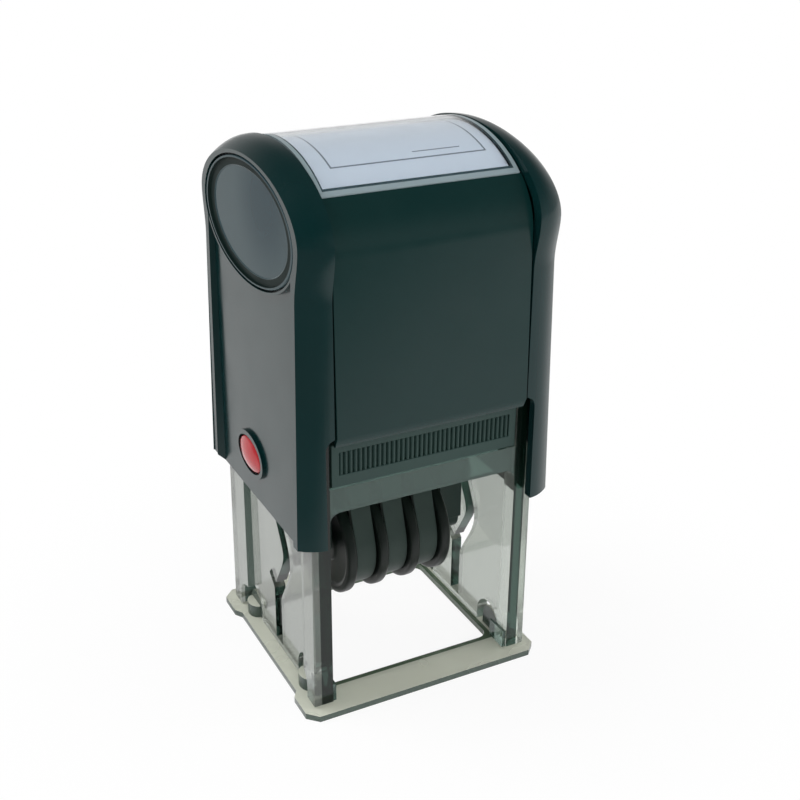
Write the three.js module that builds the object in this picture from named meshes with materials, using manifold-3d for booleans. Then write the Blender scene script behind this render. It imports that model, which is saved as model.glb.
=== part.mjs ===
import * as THREE from "three";
import { mergeVertices } from "three/addons/utils/BufferGeometryUtils.js";
import Module from "manifold-3d";

const wasm = await Module();
wasm.setup();

// Self-inking date stamp. Millimetres, +Z up, front toward -Y, origin under the foot plate.

// Fits
const FIT = 0.3; // gap between pieces that touch
const SWING = 0.4; // gap beside what swings or slides past

// Stroke and half turn: the die faces the pad at rest and lands on the paper at the end
const STROKE = 30;
const FACE_ARM = 8.5; // from the pivot to the face of the die
const PIVOT_Z = STROKE + FACE_ARM;
const PIN_ARM = 5; // from the pivot down to the cam pin
const PIN_R = 1.4;
const STUB_R = 1.8;

// Sizes that follow from others are worked out in getters, so that pieces stay fitted to each other
const WHEEL = {
  y: -1, drop: 15.7, rimR: 10, rimWidth: 2, pitch: 6.47, hubR: 7.2, bandGap: 0.25, chamfer: 0.4,
  get z() { return PIVOT_Z - this.drop; },
  get boreR() { return AXLE.r + FIT; },
  get lastX() { return 1.5 * this.pitch; },
};
const AXLE = { r: 1.5, get halfX() { return CRADLE.cheekX1 - FIT; } };
const BAND = {
  thick: 1.2, topY: 0, topR: 2.4,
  get outerR() { return WHEEL.hubR + FIT + this.thick; },
  get topZ() { return TEXT.faceZ - this.topR; },
};

// Printing unit, from the die's face down to the axle
const TEXT = {
  relief: 0.6, dieThick: 1, plateThick: 1.4, borderInset: 0.4, borderWidth: 0.5, lineInset: 3, lineHalf: 0.8,
  lineYShares: [0.456, 0.72], windowRoom: 0.9,
  get faceZ() { return PIVOT_Z + FACE_ARM; },
  get dieZ1() { return this.faceZ - this.relief; },
  get dieZ0() { return this.dieZ1 - this.dieThick; },
  get plateZ1() { return this.dieZ0 - FIT; },
  get plateZ0() { return this.plateZ1 - this.plateThick; },
  get plateX() { return CRADLE.cheekX1 - SWING; },
  get dieX() { return this.plateX - FIT; },
  get windowX() { return CRADLE.windowX; },
  get windowY() { return BAND.topR + this.windowRoom; },
};
const CRADLE = {
  plateThick: 1.5, plateY: 13.6, halfY: 5, cheekGap: 0.7, endInset: 2.5, axleEndR: 3.1,
  drop: 15, windowRoom: 1.6,
  sideRoom: 0.5,
  get plateZ1() { return TEXT.plateZ0 - FIT; },
  get plateZ0() { return this.plateZ1 - this.plateThick; },
  get bottom() { return PIVOT_Z - this.drop; },
  get cheekX0() { return WHEEL.lastX + WHEEL.rimWidth / 2 + this.cheekGap; },
  get cheekX1() { return YOKE.armX0 - SWING; },
  get axleEndX0() { return this.cheekX0 + this.endInset; },
  get windowX() { return WHEEL.lastX - WHEEL.rimWidth / 2 + this.sideRoom; },
  get windowY() { return BAND.topR + this.windowRoom; },
};
const BRIDGE = {
  halfY: 0.9, deep: 1.6,
  get halfX() { return CRADLE.cheekX0 - FIT; },
  get topX() { return CRADLE.windowX - FIT; },
  get shoulder() { return CRADLE.plateZ0 - FIT; },
  get z0() { return this.shoulder - this.deep; },
  get z1() { return TEXT.faceZ - BAND.thick - SWING; },
};

// Clear lower frame
const FRAME = {
  innerX: 18.3, wall: 2.2, ribDeep: 1.5, draft: 0.24, halfY: 20.1, frontRib: 4.8, rearRib: 7.5, ribOverlap: 9,
  beamHigh: 4.7, beamDeep: 2.1, beamDrop: 1.9, beamFillet: 2, wallOver: 7.4, deckThick: 2.4, deckRoom: 0.6,
  topOver: 4.6, slotRoom: 0.5, railThick: 1.4, railRise: 0.4, railEnd: 1.2, restDeep: 1.6, restThick: 1.7,
  blockWide: 0.7, blockDeep: 5, blockHigh: 3.6, lockOut: 1.2, lockHigh: 2, lockHalfY: 2.5,
  get plateX() { return this.innerX + this.wall; },
  get ribX() { return this.plateX + this.ribDeep; },
  get ribTopX() { return this.ribX - this.draft; },
  get topY() { return this.halfY - this.draft; },
  get ribFrontY() { return -this.halfY + this.frontRib; },
  get ribRearY() { return this.halfY - this.rearRib; },
  get bottom() { return FOOT.thick + FIT; },
  get ribTop() { return HOUSE.bottom + this.ribOverlap; },
  get beamZ1() { return TEXT.faceZ - this.beamDrop; },
  get beamZ0() { return this.beamZ1 - this.beamHigh; },
  get beamY() { return this.halfY - this.beamDeep; },
  get rearWallTop() { return this.beamZ1 + this.wallOver; },
  get deckZ0() { return PAD.top + this.deckRoom; },
  get deckZ1() { return this.deckZ0 + this.deckThick; },
  get top() { return this.deckZ1 + this.topOver; },
  get armSlotX() { return YOKE.armX0 - FIT; },
  get armSlotY0() { return YOKE.armY0 - 2 * this.slotRoom; },
  get armSlotY1() { return YOKE.armY1 + this.slotRoom; },
  get railX() { return YOKE.armX0; },
  get railZ0() { return PAD.bodyZ0 + this.railRise; },
  get railZ1() { return this.railZ0 + this.railThick; },
  get railY1() { return YOKE.armY0 - this.railEnd; },
  get restY0() { return this.beamY - this.restDeep; },
  get restZ1() { return PAD.bodyZ0 - FIT; },
  get restZ0() { return this.restZ1 - this.restThick; },
  get blockX() { return this.innerX - this.blockWide; },
  get blockY() { return -this.halfY + this.blockDeep; },
  get blockZ() { return this.bottom + this.blockHigh; },
  get lockX() { return this.plateX + this.lockOut; },
  get lockZ1() { return LOCK.z - LOCK.b - FIT; },
  get lockZ0() { return this.lockZ1 - this.lockHigh; },
};
const SLOT = {
  room: 0.22, channelRoom: 0.2, floor: 1.1, stubY: 3.4, stubRise: 3.2, stubHalf: 0.9,
  get halfWidth() { return PIN_R + this.room; },
  get channelHalf() { return PIN_R + this.channelRoom; },
  get channelZ0() { return FRAME.bottom + this.floor; },
};
const NICHE = {
  halfWidth: 3.8, straight: 2.4, endInset: 7.1,
  get y() { return FRAME.halfY - this.endInset; },
  get straightZ() { return FRAME.bottom + this.straight; },
};

// Foot plate
const FOOT = {
  thick: 1.2, earInset: 0.7, earStep: 1, earY: 7.2, slope: 1.6, chamfer: 2, frontInset: 0.2, ledge: 0.8,
  openRoom: 1.2, openR: 2,
  get earX() { return HOUSE.halfX - this.earInset; },
  get sideX() { return this.earX - this.earStep; },
  get halfY() { return HOUSE.footY - this.frontInset; },
  get openX() { return FRAME.innerX - this.ledge; },
  get openY() { return CRADLE.plateY + this.openRoom; },
};
const LUG = {
  inset: 0.6, thick: 1.3, room: 1.2, drop: 0.4, postOut: 1.7, postHalfY: 2.3, postHigh: 2.6,
  get x0() { return FRAME.innerX + this.inset; },
  get x1() { return this.x0 + this.thick; },
  get radius() { return NICHE.halfWidth - this.room; },
  get centreZ() { return NICHE.straightZ - this.drop; },
  get postZ() { return FOOT.thick + this.postHigh; },
};

// Housing: two side covers, and the barrel between their seams
const HOUSE = {
  lift: 5.5, panelDrop: 1.5, wall: 1.8, room: 0.9, neckIn: 0.5, neckOver: 3,
  shoulderOut: 0.85, shoulderHigh: 8.5,
  lean: 0.9, archB: 12.4, roundY: 2.1, roundX: 5, archWallY: 2.1, panelWall: 1, panelDeep: 1.4,
  highRoom: 0.6, highOver: 1.5,
  rail: 4.1, panelSlant: 0.35, seamIn: 0.1, cutOver: 1.8, cutR: 2,
  get bottom() { return STROKE + this.lift; },
  get panelBottom() { return this.bottom - this.panelDrop; },
  get wallY() { return FRAME.halfY + this.room; },
  get footY() { return this.wallY + this.wall; },
  get neckY() { return this.footY - this.neckIn; },
  get highZ() { return FRAME.ribTop + STROKE + this.highOver; },
  get neckZ() { return this.highZ + this.neckOver; },
  get shoulderY() { return this.footY + this.shoulderOut; },
  get archZ() { return this.neckZ + this.shoulderHigh; },
  get wallArchA() { return this.shoulderY - this.archWallY; },
  get wallArchB() { return this.archB - this.wall; },
  get lowX() { return FRAME.ribX + FIT; },
  get highX() { return FRAME.plateX + this.highRoom; },
  get panelX() { return this.lowX + this.panelWall; },
  get halfX() { return this.panelX + this.panelDeep; },
  get panelY() { return this.footY - this.rail; },
  get seamX() { return FRAME.innerX - this.seamIn; },
  get cutX() { return this.seamX + this.cutOver; },
  get cutZ() { return BARREL.bottomZ; },
  get top() { return this.archZ + this.archB; },
};
const BARREL = {
  lip: 1.9, lipRoom: 0.5, lipIn: 0.9, topIn: 0.9, archDrop: 2, footWall: 1.6, topWall: 1.4, ceiling: 4,
  get lipZ() { return PAD.top + this.lipRoom; },
  get bottomZ() { return this.lipZ + this.lip; },
  get footY() { return HOUSE.footY; },
  get lipY() { return this.footY - this.lipIn; },
  get topY() { return this.footY - this.topIn; },
  get archZ() { return HOUSE.archZ - this.archDrop; },
  get archB() { return HOUSE.top - this.archZ; },
  get innerFootY() { return this.footY - this.footWall; },
  get innerTopY() { return this.topY - this.topWall; },
  get innerArchB() { return this.archB - this.ceiling; },
};
const LABEL = {
  margin: 4.55, floor: 1.5, cardMargin: 1, cardEnd: 1, cardThick: 0.25, windowThick: 0.65, windowRoom: 0.2,
  get halfY() { return BARREL.topY - this.margin; },
  get windowX() { return HOUSE.seamX - FIT; },
  get windowY() { return this.halfY - this.windowRoom; },
  get cardX() { return this.windowX - this.cardMargin; },
  get cardY() { return this.windowY - this.cardEnd; },
  get cardLow() { return this.floor - FIT; },
  get cardHigh() { return this.cardLow - this.cardThick; },
};
const DISC = {
  drop: 0.75, a: 19.6, b: 10.2, floorWall: 1.6, high: 1.6, face: 0.95, edge: 0.25,
  rim: 0.9, slope: 0.15, step: 2.1, stepDrop: 0.5, collar: 0.45,
  get z() { return HOUSE.archZ - this.drop; },
  get pocketX() { return HOUSE.highX + this.floorWall; },
  get x0() { return this.pocketX + FIT; },
  get collarA() { return this.a + FIT + this.collar; },
  get collarB() { return this.b + FIT + this.collar; },
};
const LOCK = {
  y: 3.4, z: 42.3, a: 5.2, b: 3.1, ringWide: 0.9, ringHigh: 0.4, shoulder: 0.2, dome: 0.9,
  get holeA() { return this.a + FIT; },
  get holeB() { return this.b + FIT; },
  get ringX() { return HOUSE.panelX + this.ringHigh; },
  get tipX() { return FRAME.lockX + FIT; },
  get shoulderX() { return HOUSE.panelX + this.shoulder; },
  get domeX() { return this.shoulderX + this.dome; },
};

// Yoke
const YOKE = {
  armThick: 1.4, armY0: 4.6, armY1: 12, bridgeThick: 2, bossR: 3.2, neckHalf: 3, screwX: 12,
  get armX1() { return FRAME.innerX - FIT; },
  get armX0() { return this.armX1 - this.armThick; },
  get holeR() { return STUB_R + FIT; },
  get bridgeZ0() { return SCREW.headZ1 + FIT; },
  get bridgeZ1() { return this.bridgeZ0 + this.bridgeThick; },
  get screwY() { return (this.armY0 + this.armY1) / 2; },
};
const SCREW = {
  headR: 1.9, headHigh: 1.2, room: 0.6, shankR: 0.95, bite: 3.2, bossR: 2.6,
  get headZ0() { return FRAME.deckZ1 + STROKE + this.room; },
  get headZ1() { return this.headZ0 + this.headHigh; },
  get holeR() { return this.shankR + FIT; },
  get bossZ() { return YOKE.bridgeZ1 + FIT; },
  get top() { return this.bossZ + this.bite; },
};

// Return springs
const SPRING = {
  x: 9, y: -2, radius: 3.6, wire: 0.7, turns: 7, postRoom: 0.95,
  low: 0.7, high: 1.1, lowPin: 2.1, highPin: 2.6,
  get z0() { return FRAME.deckZ1 + this.low; },
  get z1() { return BARREL.archZ + BARREL.innerArchB - this.high; },
  get postR() { return this.radius - this.wire / 2 - this.postRoom; },
  get lowPost() { return this.z0 + this.lowPin; },
  get highPost() { return this.z1 - this.highPin; },
};

// Pad cartridge
const PAD = {
  high: 8, frontThick: 1.4, frontIn: 0.1, endRoom: 0.5, padGap: 1.2, padThick: 3.1, padProud: 0.7, wall: 0.8,
  pocketRoom: 1.2, tongueThick: 1.6, lowBand: 2.2, highBand: 1.6,
  ribMargin: 1.45, ribDeep: 0.5, ribFillShare: 0.55,
  get frontX() { return FRAME.innerX - SWING; },
  get frontY() { return -FRAME.halfY + this.frontIn; },
  get frontY1() { return this.frontY + this.frontThick; },
  get frontZ0() { return FRAME.beamZ1 + FIT; },
  get top() { return this.frontZ0 + this.high; },
  get bodyX() { return YOKE.armX0 - SWING; },
  get bodyY1() { return FRAME.beamY - this.endRoom; },
  get padZ0() { return TEXT.faceZ + this.padGap; },
  get padZ1() { return this.padZ0 + this.padThick; },
  get bodyZ0() { return this.padZ0 + this.padProud; },
  get pocketX() { return this.bodyX - this.wall; },
  get pocketY() { return CRADLE.plateY + this.pocketRoom; },
  get pocketZ() { return this.padZ1 + FIT; },
  get padX() { return this.pocketX - FIT; },
  get padY() { return this.pocketY - FIT; },
  get tongueX() { return FRAME.innerX - FIT; },
  get tongueZ0() { return FRAME.railZ1 + FIT; },
  get tongueZ1() { return this.tongueZ0 + this.tongueThick; },
  get tongueY1() { return FRAME.railY1; },
  get ribZ0() { return this.frontZ0 + this.lowBand; },
  get ribZ1() { return this.top - this.highBand; },
  get ribHalfX() { return this.frontX - this.ribMargin; },
};
const RIBS = 37;
const REACH = 2 * HOUSE.top; // for cuts that go right through

// Points on curves
const FINE = 28; // points on a half circle of the big arches
const ROUND = 32; // points on a small full circle
const SMALL = 20;

const degrees = Math.PI / 180;

function ellipse(cu, cv, a, b, count = ROUND, from = 0, to = 2 * Math.PI) {
  const full = Math.abs(to - from - 2 * Math.PI) < 1e-9;
  const steps = full ? count : count - 1;
  return Array.from({ length: count }, (_, i) => {
    const t = from + ((to - from) * i) / steps;
    return [cu + a * Math.cos(t), cv + b * Math.sin(t)];
  });
}

function toSolid(geometry) {
  const plain = geometry.clone();
  plain.deleteAttribute("normal");
  plain.deleteAttribute("uv");
  const joined = mergeVertices(plain, 1e-5);
  return new wasm.Manifold(new wasm.Mesh({
    numProp: 3,
    vertProperties: new Float32Array(joined.attributes.position.array),
    triVerts: new Uint32Array(joined.index.array),
  }));
}

function toGeometry(solid) {
  const mesh = solid.getMesh();
  const geometry = new THREE.BufferGeometry();
  geometry.setAttribute("position", new THREE.BufferAttribute(new Float32Array(mesh.vertProperties), 3));
  geometry.setIndex(new THREE.BufferAttribute(new Uint32Array(mesh.triVerts), 1));
  return geometry;
}

function extruded(points, depth, options = {}) {
  const shape = new THREE.Shape(points.map(([u, v]) => new THREE.Vector2(u, v)));
  return new THREE.ExtrudeGeometry(shape, { depth, bevelEnabled: false, ...options });
}

// An outline of [y, z] points, extruded along X from x0 to x1
function alongX(points, x0, x1, options) {
  const geometry = extruded(points, x1 - x0, options);
  geometry.applyMatrix4(new THREE.Matrix4().set(0, 0, 1, x0, 1, 0, 0, 0, 0, 1, 0, 0, 0, 0, 0, 1));
  return toSolid(geometry);
}

// An outline of [x, z] points, extruded along Y from y0 to y1
function alongY(points, y0, y1) {
  const geometry = extruded(points, y1 - y0);
  geometry.applyMatrix4(new THREE.Matrix4().set(1, 0, 0, 0, 0, 0, -1, y1, 0, 1, 0, 0, 0, 0, 0, 1));
  return toSolid(geometry);
}

// An outline of [x, y] points, extruded along Z from z0 to z1
function alongZ(points, z0, z1) {
  const geometry = extruded(points, z1 - z0);
  geometry.translate(0, 0, z0);
  return toSolid(geometry);
}

function box(x0, x1, y0, y1, z0, z1) {
  return alongZ([[x0, y0], [x1, y0], [x1, y1], [x0, y1]], z0, z1);
}

// A box whose upper end is a smaller or shifted rectangle: [x0, x1, y0, y1] at each end
function taperedBox(low, high, z0, z1) {
  const geometry = new THREE.BoxGeometry(2, 2, 2);
  const position = geometry.attributes.position;
  for (let i = 0; i < position.count; i += 1) {
    const end = position.getZ(i) > 0 ? high : low;
    position.setXYZ(
      i,
      position.getX(i) > 0 ? end[1] : end[0],
      position.getY(i) > 0 ? end[3] : end[2],
      position.getZ(i) > 0 ? z1 : z0,
    );
  }
  return toSolid(geometry);
}

function cylinderX(radius, x0, x1, y, z, count = SMALL) {
  return alongX(ellipse(y, z, radius, radius, count), x0, x1);
}

function cylinderZ(radius, z0, z1, x, y, count = SMALL) {
  return alongZ(ellipse(x, y, radius, radius, count), z0, z1);
}

function union(solids) {
  return solids.reduce((a, b) => a.add(b));
}

function mirroredX(solid) {
  const geometry = toGeometry(solid);
  const position = geometry.attributes.position;
  for (let i = 0; i < position.count; i += 1) position.setX(i, -position.getX(i));
  const index = geometry.index.array;
  for (let i = 0; i < index.length; i += 3) [index[i], index[i + 1]] = [index[i + 1], index[i]];
  return toSolid(geometry);
}

function bothSides(solid) {
  return solid.add(mirroredX(solid));
}

function roundedRectangle(halfU, halfV, radius, count = 6) {
  const corners = [[1, 1, 0], [-1, 1, 90], [-1, -1, 180], [1, -1, 270]];
  return corners.flatMap(([su, sv, angle]) => ellipse(
    su * (halfU - radius), sv * (halfV - radius), radius, radius, count,
    angle * degrees, (angle + 90) * degrees,
  ));
}

// Foot plate

function footPlate() {
  const { earX, sideX, halfY, thick, earY, slope, chamfer, openX, openY, openR } = FOOT;
  const quarter = [
    [sideX, 0], [sideX, halfY - earY - slope], [earX, halfY - earY],
    [earX, halfY - chamfer], [earX - chamfer, halfY],
  ];
  const right = [...quarter.slice(1).reverse().map(([x, y]) => [x, -y]), ...quarter.slice(1)];
  const outline = [...right, ...right.slice().reverse().map(([x, y]) => [-x, y])];
  const plate = alongZ(outline, 0, thick).subtract(
    alongZ(roundedRectangle(openX, openY, openR), -thick, 2 * thick),
  );
  const lugs = [-NICHE.y, NICHE.y].map((y) => {
    const tab = alongX([
      [y - LUG.radius, thick / 2], [y + LUG.radius, thick / 2],
      ...ellipse(y, LUG.centreZ, LUG.radius, LUG.radius, 12, 0, Math.PI),
    ], LUG.x0, LUG.x1);
    const post = alongZ([
      [LUG.x0, y + LUG.postHalfY], [LUG.x0, y - LUG.postHalfY],
      ...ellipse(LUG.x1, y, LUG.postOut, LUG.postHalfY, 12, -90 * degrees, 90 * degrees),
    ], thick / 2, LUG.postZ);
    return bothSides(tab.add(post));
  });
  return union([plate, ...lugs]);
}

// Lower frame

// Centre of the cam pin at a share of the stroke
function pinCentre(share) {
  const turn = Math.PI * share;
  return [-PIN_ARM * Math.sin(turn), PIVOT_Z - STROKE * share - PIN_ARM * Math.cos(turn)];
}

function slotCutters(x0, x1) {
  const count = 21;
  const path = Array.from({ length: count }, (_, i) => pinCentre(1 - i / (count - 1)));
  const normals = path.map((_, i) => {
    const [a, b] = [path[Math.max(i - 1, 0)], path[Math.min(i + 1, count - 1)]];
    const [du, dv] = [b[0] - a[0], b[1] - a[1]];
    const length = Math.hypot(du, dv);
    return [dv / length, -du / length];
  });
  const side = (sign) => path.map(([y, z], i) => [
    y + sign * SLOT.halfWidth * normals[i][0], z + sign * SLOT.halfWidth * normals[i][1],
  ]);
  const band = alongX([...side(1), ...side(-1).reverse()], x0, x1);
  const ends = [path[0], path[count - 1]].map(([y, z]) => cylinderX(SLOT.halfWidth, x0, x1, y, z));
  const low = pinCentre(1)[1];
  const channel = alongX([
    [-SLOT.channelHalf, SLOT.channelZ0], [SLOT.channelHalf, SLOT.channelZ0],
    [SLOT.channelHalf, low], [-SLOT.channelHalf, low],
  ], x0, x1);
  const length = Math.hypot(SLOT.stubY, SLOT.stubRise);
  const ny = (SLOT.stubHalf * SLOT.stubRise) / length;
  const nz = (-SLOT.stubHalf * SLOT.stubY) / length;
  const stubZ = low + SLOT.stubRise;
  const stub = alongX([
    [ny, low + nz], [SLOT.stubY + ny, stubZ + nz], [SLOT.stubY - ny, stubZ - nz], [-ny, low - nz],
  ], x0, x1);
  return union([band, ...ends, channel, stub]);
}

function frameSide() {
  const F = FRAME;
  const plate = taperedBox(
    [F.innerX, F.plateX, -F.halfY, F.halfY], [F.innerX, F.plateX, -F.topY, F.topY], F.bottom, F.top,
  );
  const front = taperedBox(
    [F.innerX, F.ribX, -F.halfY, F.ribFrontY],
    [F.innerX, F.ribTopX, -F.topY, F.ribFrontY], F.bottom, F.ribTop,
  );
  const rear = taperedBox(
    [F.innerX, F.ribX, F.ribRearY, F.halfY], [F.innerX, F.ribTopX, F.ribRearY, F.topY], F.bottom, F.ribTop,
  );
  const rail = box(F.railX, F.innerX + FIT, -F.beamY, F.railY1, F.railZ0, F.railZ1);
  const block = box(F.blockX, F.innerX + FIT, -F.topY, F.blockY, F.bottom, F.blockZ);
  const lock = box(
    F.plateX - FIT, F.lockX, LOCK.y - F.lockHalfY, LOCK.y + F.lockHalfY, F.lockZ0, F.lockZ1,
  );
  const x0 = F.innerX - FIT;
  const x1 = F.ribX + FIT;
  const niches = [-NICHE.y, NICHE.y].map((y) => alongX([
    [y - NICHE.halfWidth, 0], [y + NICHE.halfWidth, 0],
    ...ellipse(y, NICHE.straightZ, NICHE.halfWidth, NICHE.halfWidth, 14, 0, Math.PI),
  ], x0, x1));
  return union([plate, front, rear, rail, block, lock])
    .subtract(union([slotCutters(x0, x1), ...niches]));
}

function beam(y0, y1, top) {
  const F = FRAME;
  const x = F.innerX + FIT;
  const r = F.beamFillet;
  const corner = (sign) => {
    const arc = ellipse(F.innerX - r, F.beamZ0 - r, r, r, 6, 0, 90 * degrees);
    return arc.map(([u, v]) => [sign * u, v]);
  };
  const outline = [
    [x, F.beamZ0 - r], ...[[x, top], [-x, top], [-x, F.beamZ0 - r]],
    ...corner(-1), ...corner(1).reverse(),
  ];
  return alongY(outline, y0, y1);
}

function lowerFrame() {
  const F = FRAME;
  const deck = box(-F.innerX - FIT, F.innerX + FIT, -F.beamY, F.beamY, F.deckZ0, F.deckZ1).subtract(bothSides(
    box(F.armSlotX, F.innerX + FIT + FIT, F.armSlotY0, F.armSlotY1, F.deckZ0 - FIT, F.deckZ1 + FIT),
  ));
  const rest = box(-F.innerX - FIT, F.innerX + FIT, F.restY0, F.beamY + FIT, F.restZ0, F.restZ1);
  const posts = bothSides(cylinderZ(SPRING.postR, F.deckZ1 - FIT, SPRING.lowPost, SPRING.x, SPRING.y));
  const sides = bothSides(frameSide());
  return union([
    sides, beam(-F.topY, -F.beamY, F.beamZ1), beam(F.beamY, F.topY, F.rearWallTop), deck, rest, posts,
  ]);
}

// Housing

function shoulder(count = 8) {
  const { neckY, neckZ, shoulderY, archZ } = HOUSE;
  return Array.from({ length: count }, (_, i) => {
    const t = i / count;
    return [neckY + (shoulderY - neckY) * t * t * (3 - 2 * t), neckZ + (archZ - neckZ) * t];
  });
}

// The covers' sides lean in toward the top, by a share of the width that grows with the height
function leanIn(solid, lean = HOUSE.lean) {
  const perHeight = lean / HOUSE.halfX / (HOUSE.neckZ - HOUSE.bottom);
  return solid.warp((point) => {
    point[0] *= 1 - perHeight * Math.max(point[2] - HOUSE.bottom, 0);
  });
}

// The rounding of a cover's edge ends in a crisp corner at its side
function crisped(solid) {
  const core = HOUSE.halfX - HOUSE.roundX;
  return solid.warp((point) => {
    const share = Math.min(Math.max(Math.abs(point[0]) - core, 0) / HOUSE.roundX, 1);
    const out = HOUSE.roundX * Math.sqrt(1 - Math.sqrt(1 - share * share));
    if (share) point[0] = Math.sign(point[0]) * (core + out);
  });
}

function coverBlank() {
  const H = HOUSE;
  const below = H.bottom - 3 * H.roundX;
  const half = [
    [H.footY, below], [H.footY, H.bottom], ...shoulder(),
    ...ellipse(0, H.archZ, H.shoulderY, H.archB, FINE, 0, 90 * degrees).slice(0, -1),
  ];
  const outline = [...half, [0, H.archZ + H.archB], ...half.slice().reverse().map(([y, z]) => [-y, z])];
  return leanIn(crisped(alongX(outline, -H.halfX + H.roundX, H.halfX - H.roundX, {
    bevelEnabled: true, bevelSize: H.roundY, bevelThickness: H.roundX, bevelOffset: -H.roundY,
    bevelSegments: 6,
  })));
}

function coverInside(halfX, z0) {
  const H = HOUSE;
  const half = [
    [H.wallY, z0], [H.wallY, H.neckZ],
    ...ellipse(0, H.archZ, H.wallArchA, H.wallArchB, FINE, 0, 90 * degrees).slice(0, -1),
  ];
  return alongX(
    [...half, [0, H.archZ + H.wallArchB], ...half.slice().reverse().map(([y, z]) => [-y, z])], -halfX, halfX,
  );
}

function rightCover() {
  const H = HOUSE;
  const under = H.bottom - 4 * H.roundX;
  const out = H.halfX + FIT;
  const lower = coverInside(H.lowX, under).subtract(box(-REACH, REACH, -REACH, REACH, H.highZ, REACH));
  const seam = box(-REACH, H.seamX + FIT / 2, -REACH, REACH, -REACH, REACH);
  const edge = H.panelY + H.panelSlant;
  const foot = alongX([
    [-REACH, under], [REACH, under], [REACH, H.bottom], [edge, H.bottom],
    [H.panelY - H.panelSlant, H.panelBottom], [-H.panelY + H.panelSlant, H.panelBottom],
    [-edge, H.bottom], [-REACH, H.bottom],
  ], 0, out);
  const cut = alongY([
    [0, under], [H.cutX, under],
    ...ellipse(H.cutX - H.cutR, H.cutZ - H.cutR, H.cutR, H.cutR, 6, 0, 90 * degrees), [0, H.cutZ],
  ], -REACH, REACH);
  const panel = leanIn(alongZ([
    [H.panelX, -H.panelY + H.panelSlant], [out, -edge], [out, edge], [H.panelX, H.panelY - H.panelSlant],
  ], under, DISC.z), H.lean / 2);
  const pocket = leanIn(alongX(
    ellipse(0, DISC.z, DISC.a + FIT, DISC.b + FIT, 2 * FINE), DISC.pocketX, out,
  ));
  // Where the panel falls away, the collar still frames the disc
  const collar = leanIn(alongX(
    ellipse(0, DISC.z, DISC.collarA, DISC.collarB, 2 * FINE), DISC.pocketX, DISC.x0 + DISC.high,
  ));
  const ring = alongX(
    ellipse(LOCK.y, LOCK.z, LOCK.holeA + LOCK.ringWide, LOCK.holeB + LOCK.ringWide), H.lowX, LOCK.ringX,
  );
  const hole = alongX(ellipse(LOCK.y, LOCK.z, LOCK.holeA, LOCK.holeB), H.lowX - FIT, out);
  const blank = coverBlank();
  return blank
    .subtract(union([seam, foot, cut, panel]))
    .add(union([ring, collar.intersect(blank)]))
    .subtract(union([pocket, coverInside(H.highX, under), lower, hole]));
}

function arch(inset, halfY, count = FINE) {
  const { topY, archZ, archB } = BARREL;
  const [a, b] = [topY - inset, archB - inset];
  const from = Math.acos(Math.min(halfY / a, 1));
  return ellipse(0, archZ, a, b, count, from, Math.PI - from);
}

function housingBarrel() {
  const B = BARREL;
  const x = HOUSE.seamX - FIT / 2;
  const outer = alongX([
    [B.lipY, B.lipZ], [B.footY, B.bottomZ], ...arch(0, B.topY, 2 * FINE),
    [-B.footY, B.bottomZ], [-B.lipY, B.lipZ],
  ], -x, x);
  const inner = alongX([
    [B.innerFootY, B.lipZ - FIT],
    ...ellipse(0, B.archZ, B.innerTopY, B.innerArchB, 2 * FINE, 0, Math.PI), [-B.innerFootY, B.lipZ - FIT],
  ], -x - FIT, x + FIT);
  const recess = alongX([
    ...arch(LABEL.floor, LABEL.halfY),
    [-LABEL.halfY, B.archZ + 2 * B.archB], [LABEL.halfY, B.archZ + 2 * B.archB],
  ], -x - FIT, x + FIT);
  const ceiling = B.archZ + B.innerArchB;
  const bosses = bothSides(cylinderZ(SCREW.bossR, SCREW.bossZ, ceiling, YOKE.screwX, YOKE.screwY));
  const posts = bothSides(cylinderZ(SPRING.postR, SPRING.highPost, ceiling + FIT, SPRING.x, SPRING.y));
  const holes = bothSides(cylinderZ(SCREW.holeR, 0, SCREW.top + FIT, YOKE.screwX, YOKE.screwY));
  return outer.subtract(union([inner, recess])).add(union([bosses, posts])).subtract(holes);
}

function archedSheet(low, high, halfX, halfY) {
  return alongX([...arch(high, halfY), ...arch(low, halfY).reverse()], -halfX, halfX);
}

// A round profile of [radius share, x] points, squashed to the disc's oval
function endDisc() {
  const D = DISC;
  const shelf = D.a - D.rim - D.slope;
  const profile = [
    [0, 0], [D.a, 0], [D.a, D.high - D.edge], [D.a - D.edge, D.high], [D.a - D.rim, D.high],
    [shelf, D.high - D.stepDrop], [shelf - D.step, D.high - D.stepDrop],
    [shelf - D.step - D.slope, D.face], [0, D.face],
  ];
  const points = profile.map(([radius, x]) => new THREE.Vector2(radius, D.x0 + x));
  const geometry = new THREE.LatheGeometry(points, 2 * FINE);
  const squash = D.b / D.a;
  geometry.applyMatrix4(new THREE.Matrix4().set(0, 1, 0, 0, 0, 0, 1, 0, squash, 0, 0, D.z, 0, 0, 0, 1));
  return leanIn(toSolid(geometry));
}

function lockButton() {
  const L = LOCK;
  const steps = 5;
  const profile = [[0, L.tipX], [1, L.tipX], [1, L.shoulderX]];
  for (let i = 1; i < steps; i += 1) {
    const t = (90 * degrees * i) / steps;
    profile.push([Math.cos(t), L.shoulderX + (L.domeX - L.shoulderX) * Math.sin(t)]);
  }
  profile.push([0, L.domeX]);
  const points = profile.map(([share, x]) => new THREE.Vector2(share * L.a, x));
  const geometry = new THREE.LatheGeometry(points, ROUND);
  geometry.applyMatrix4(new THREE.Matrix4().set(0, 1, 0, 0, 0, 0, 1, L.y, L.b / L.a, 0, 0, L.z, 0, 0, 0, 1));
  return toSolid(geometry);
}

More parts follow.
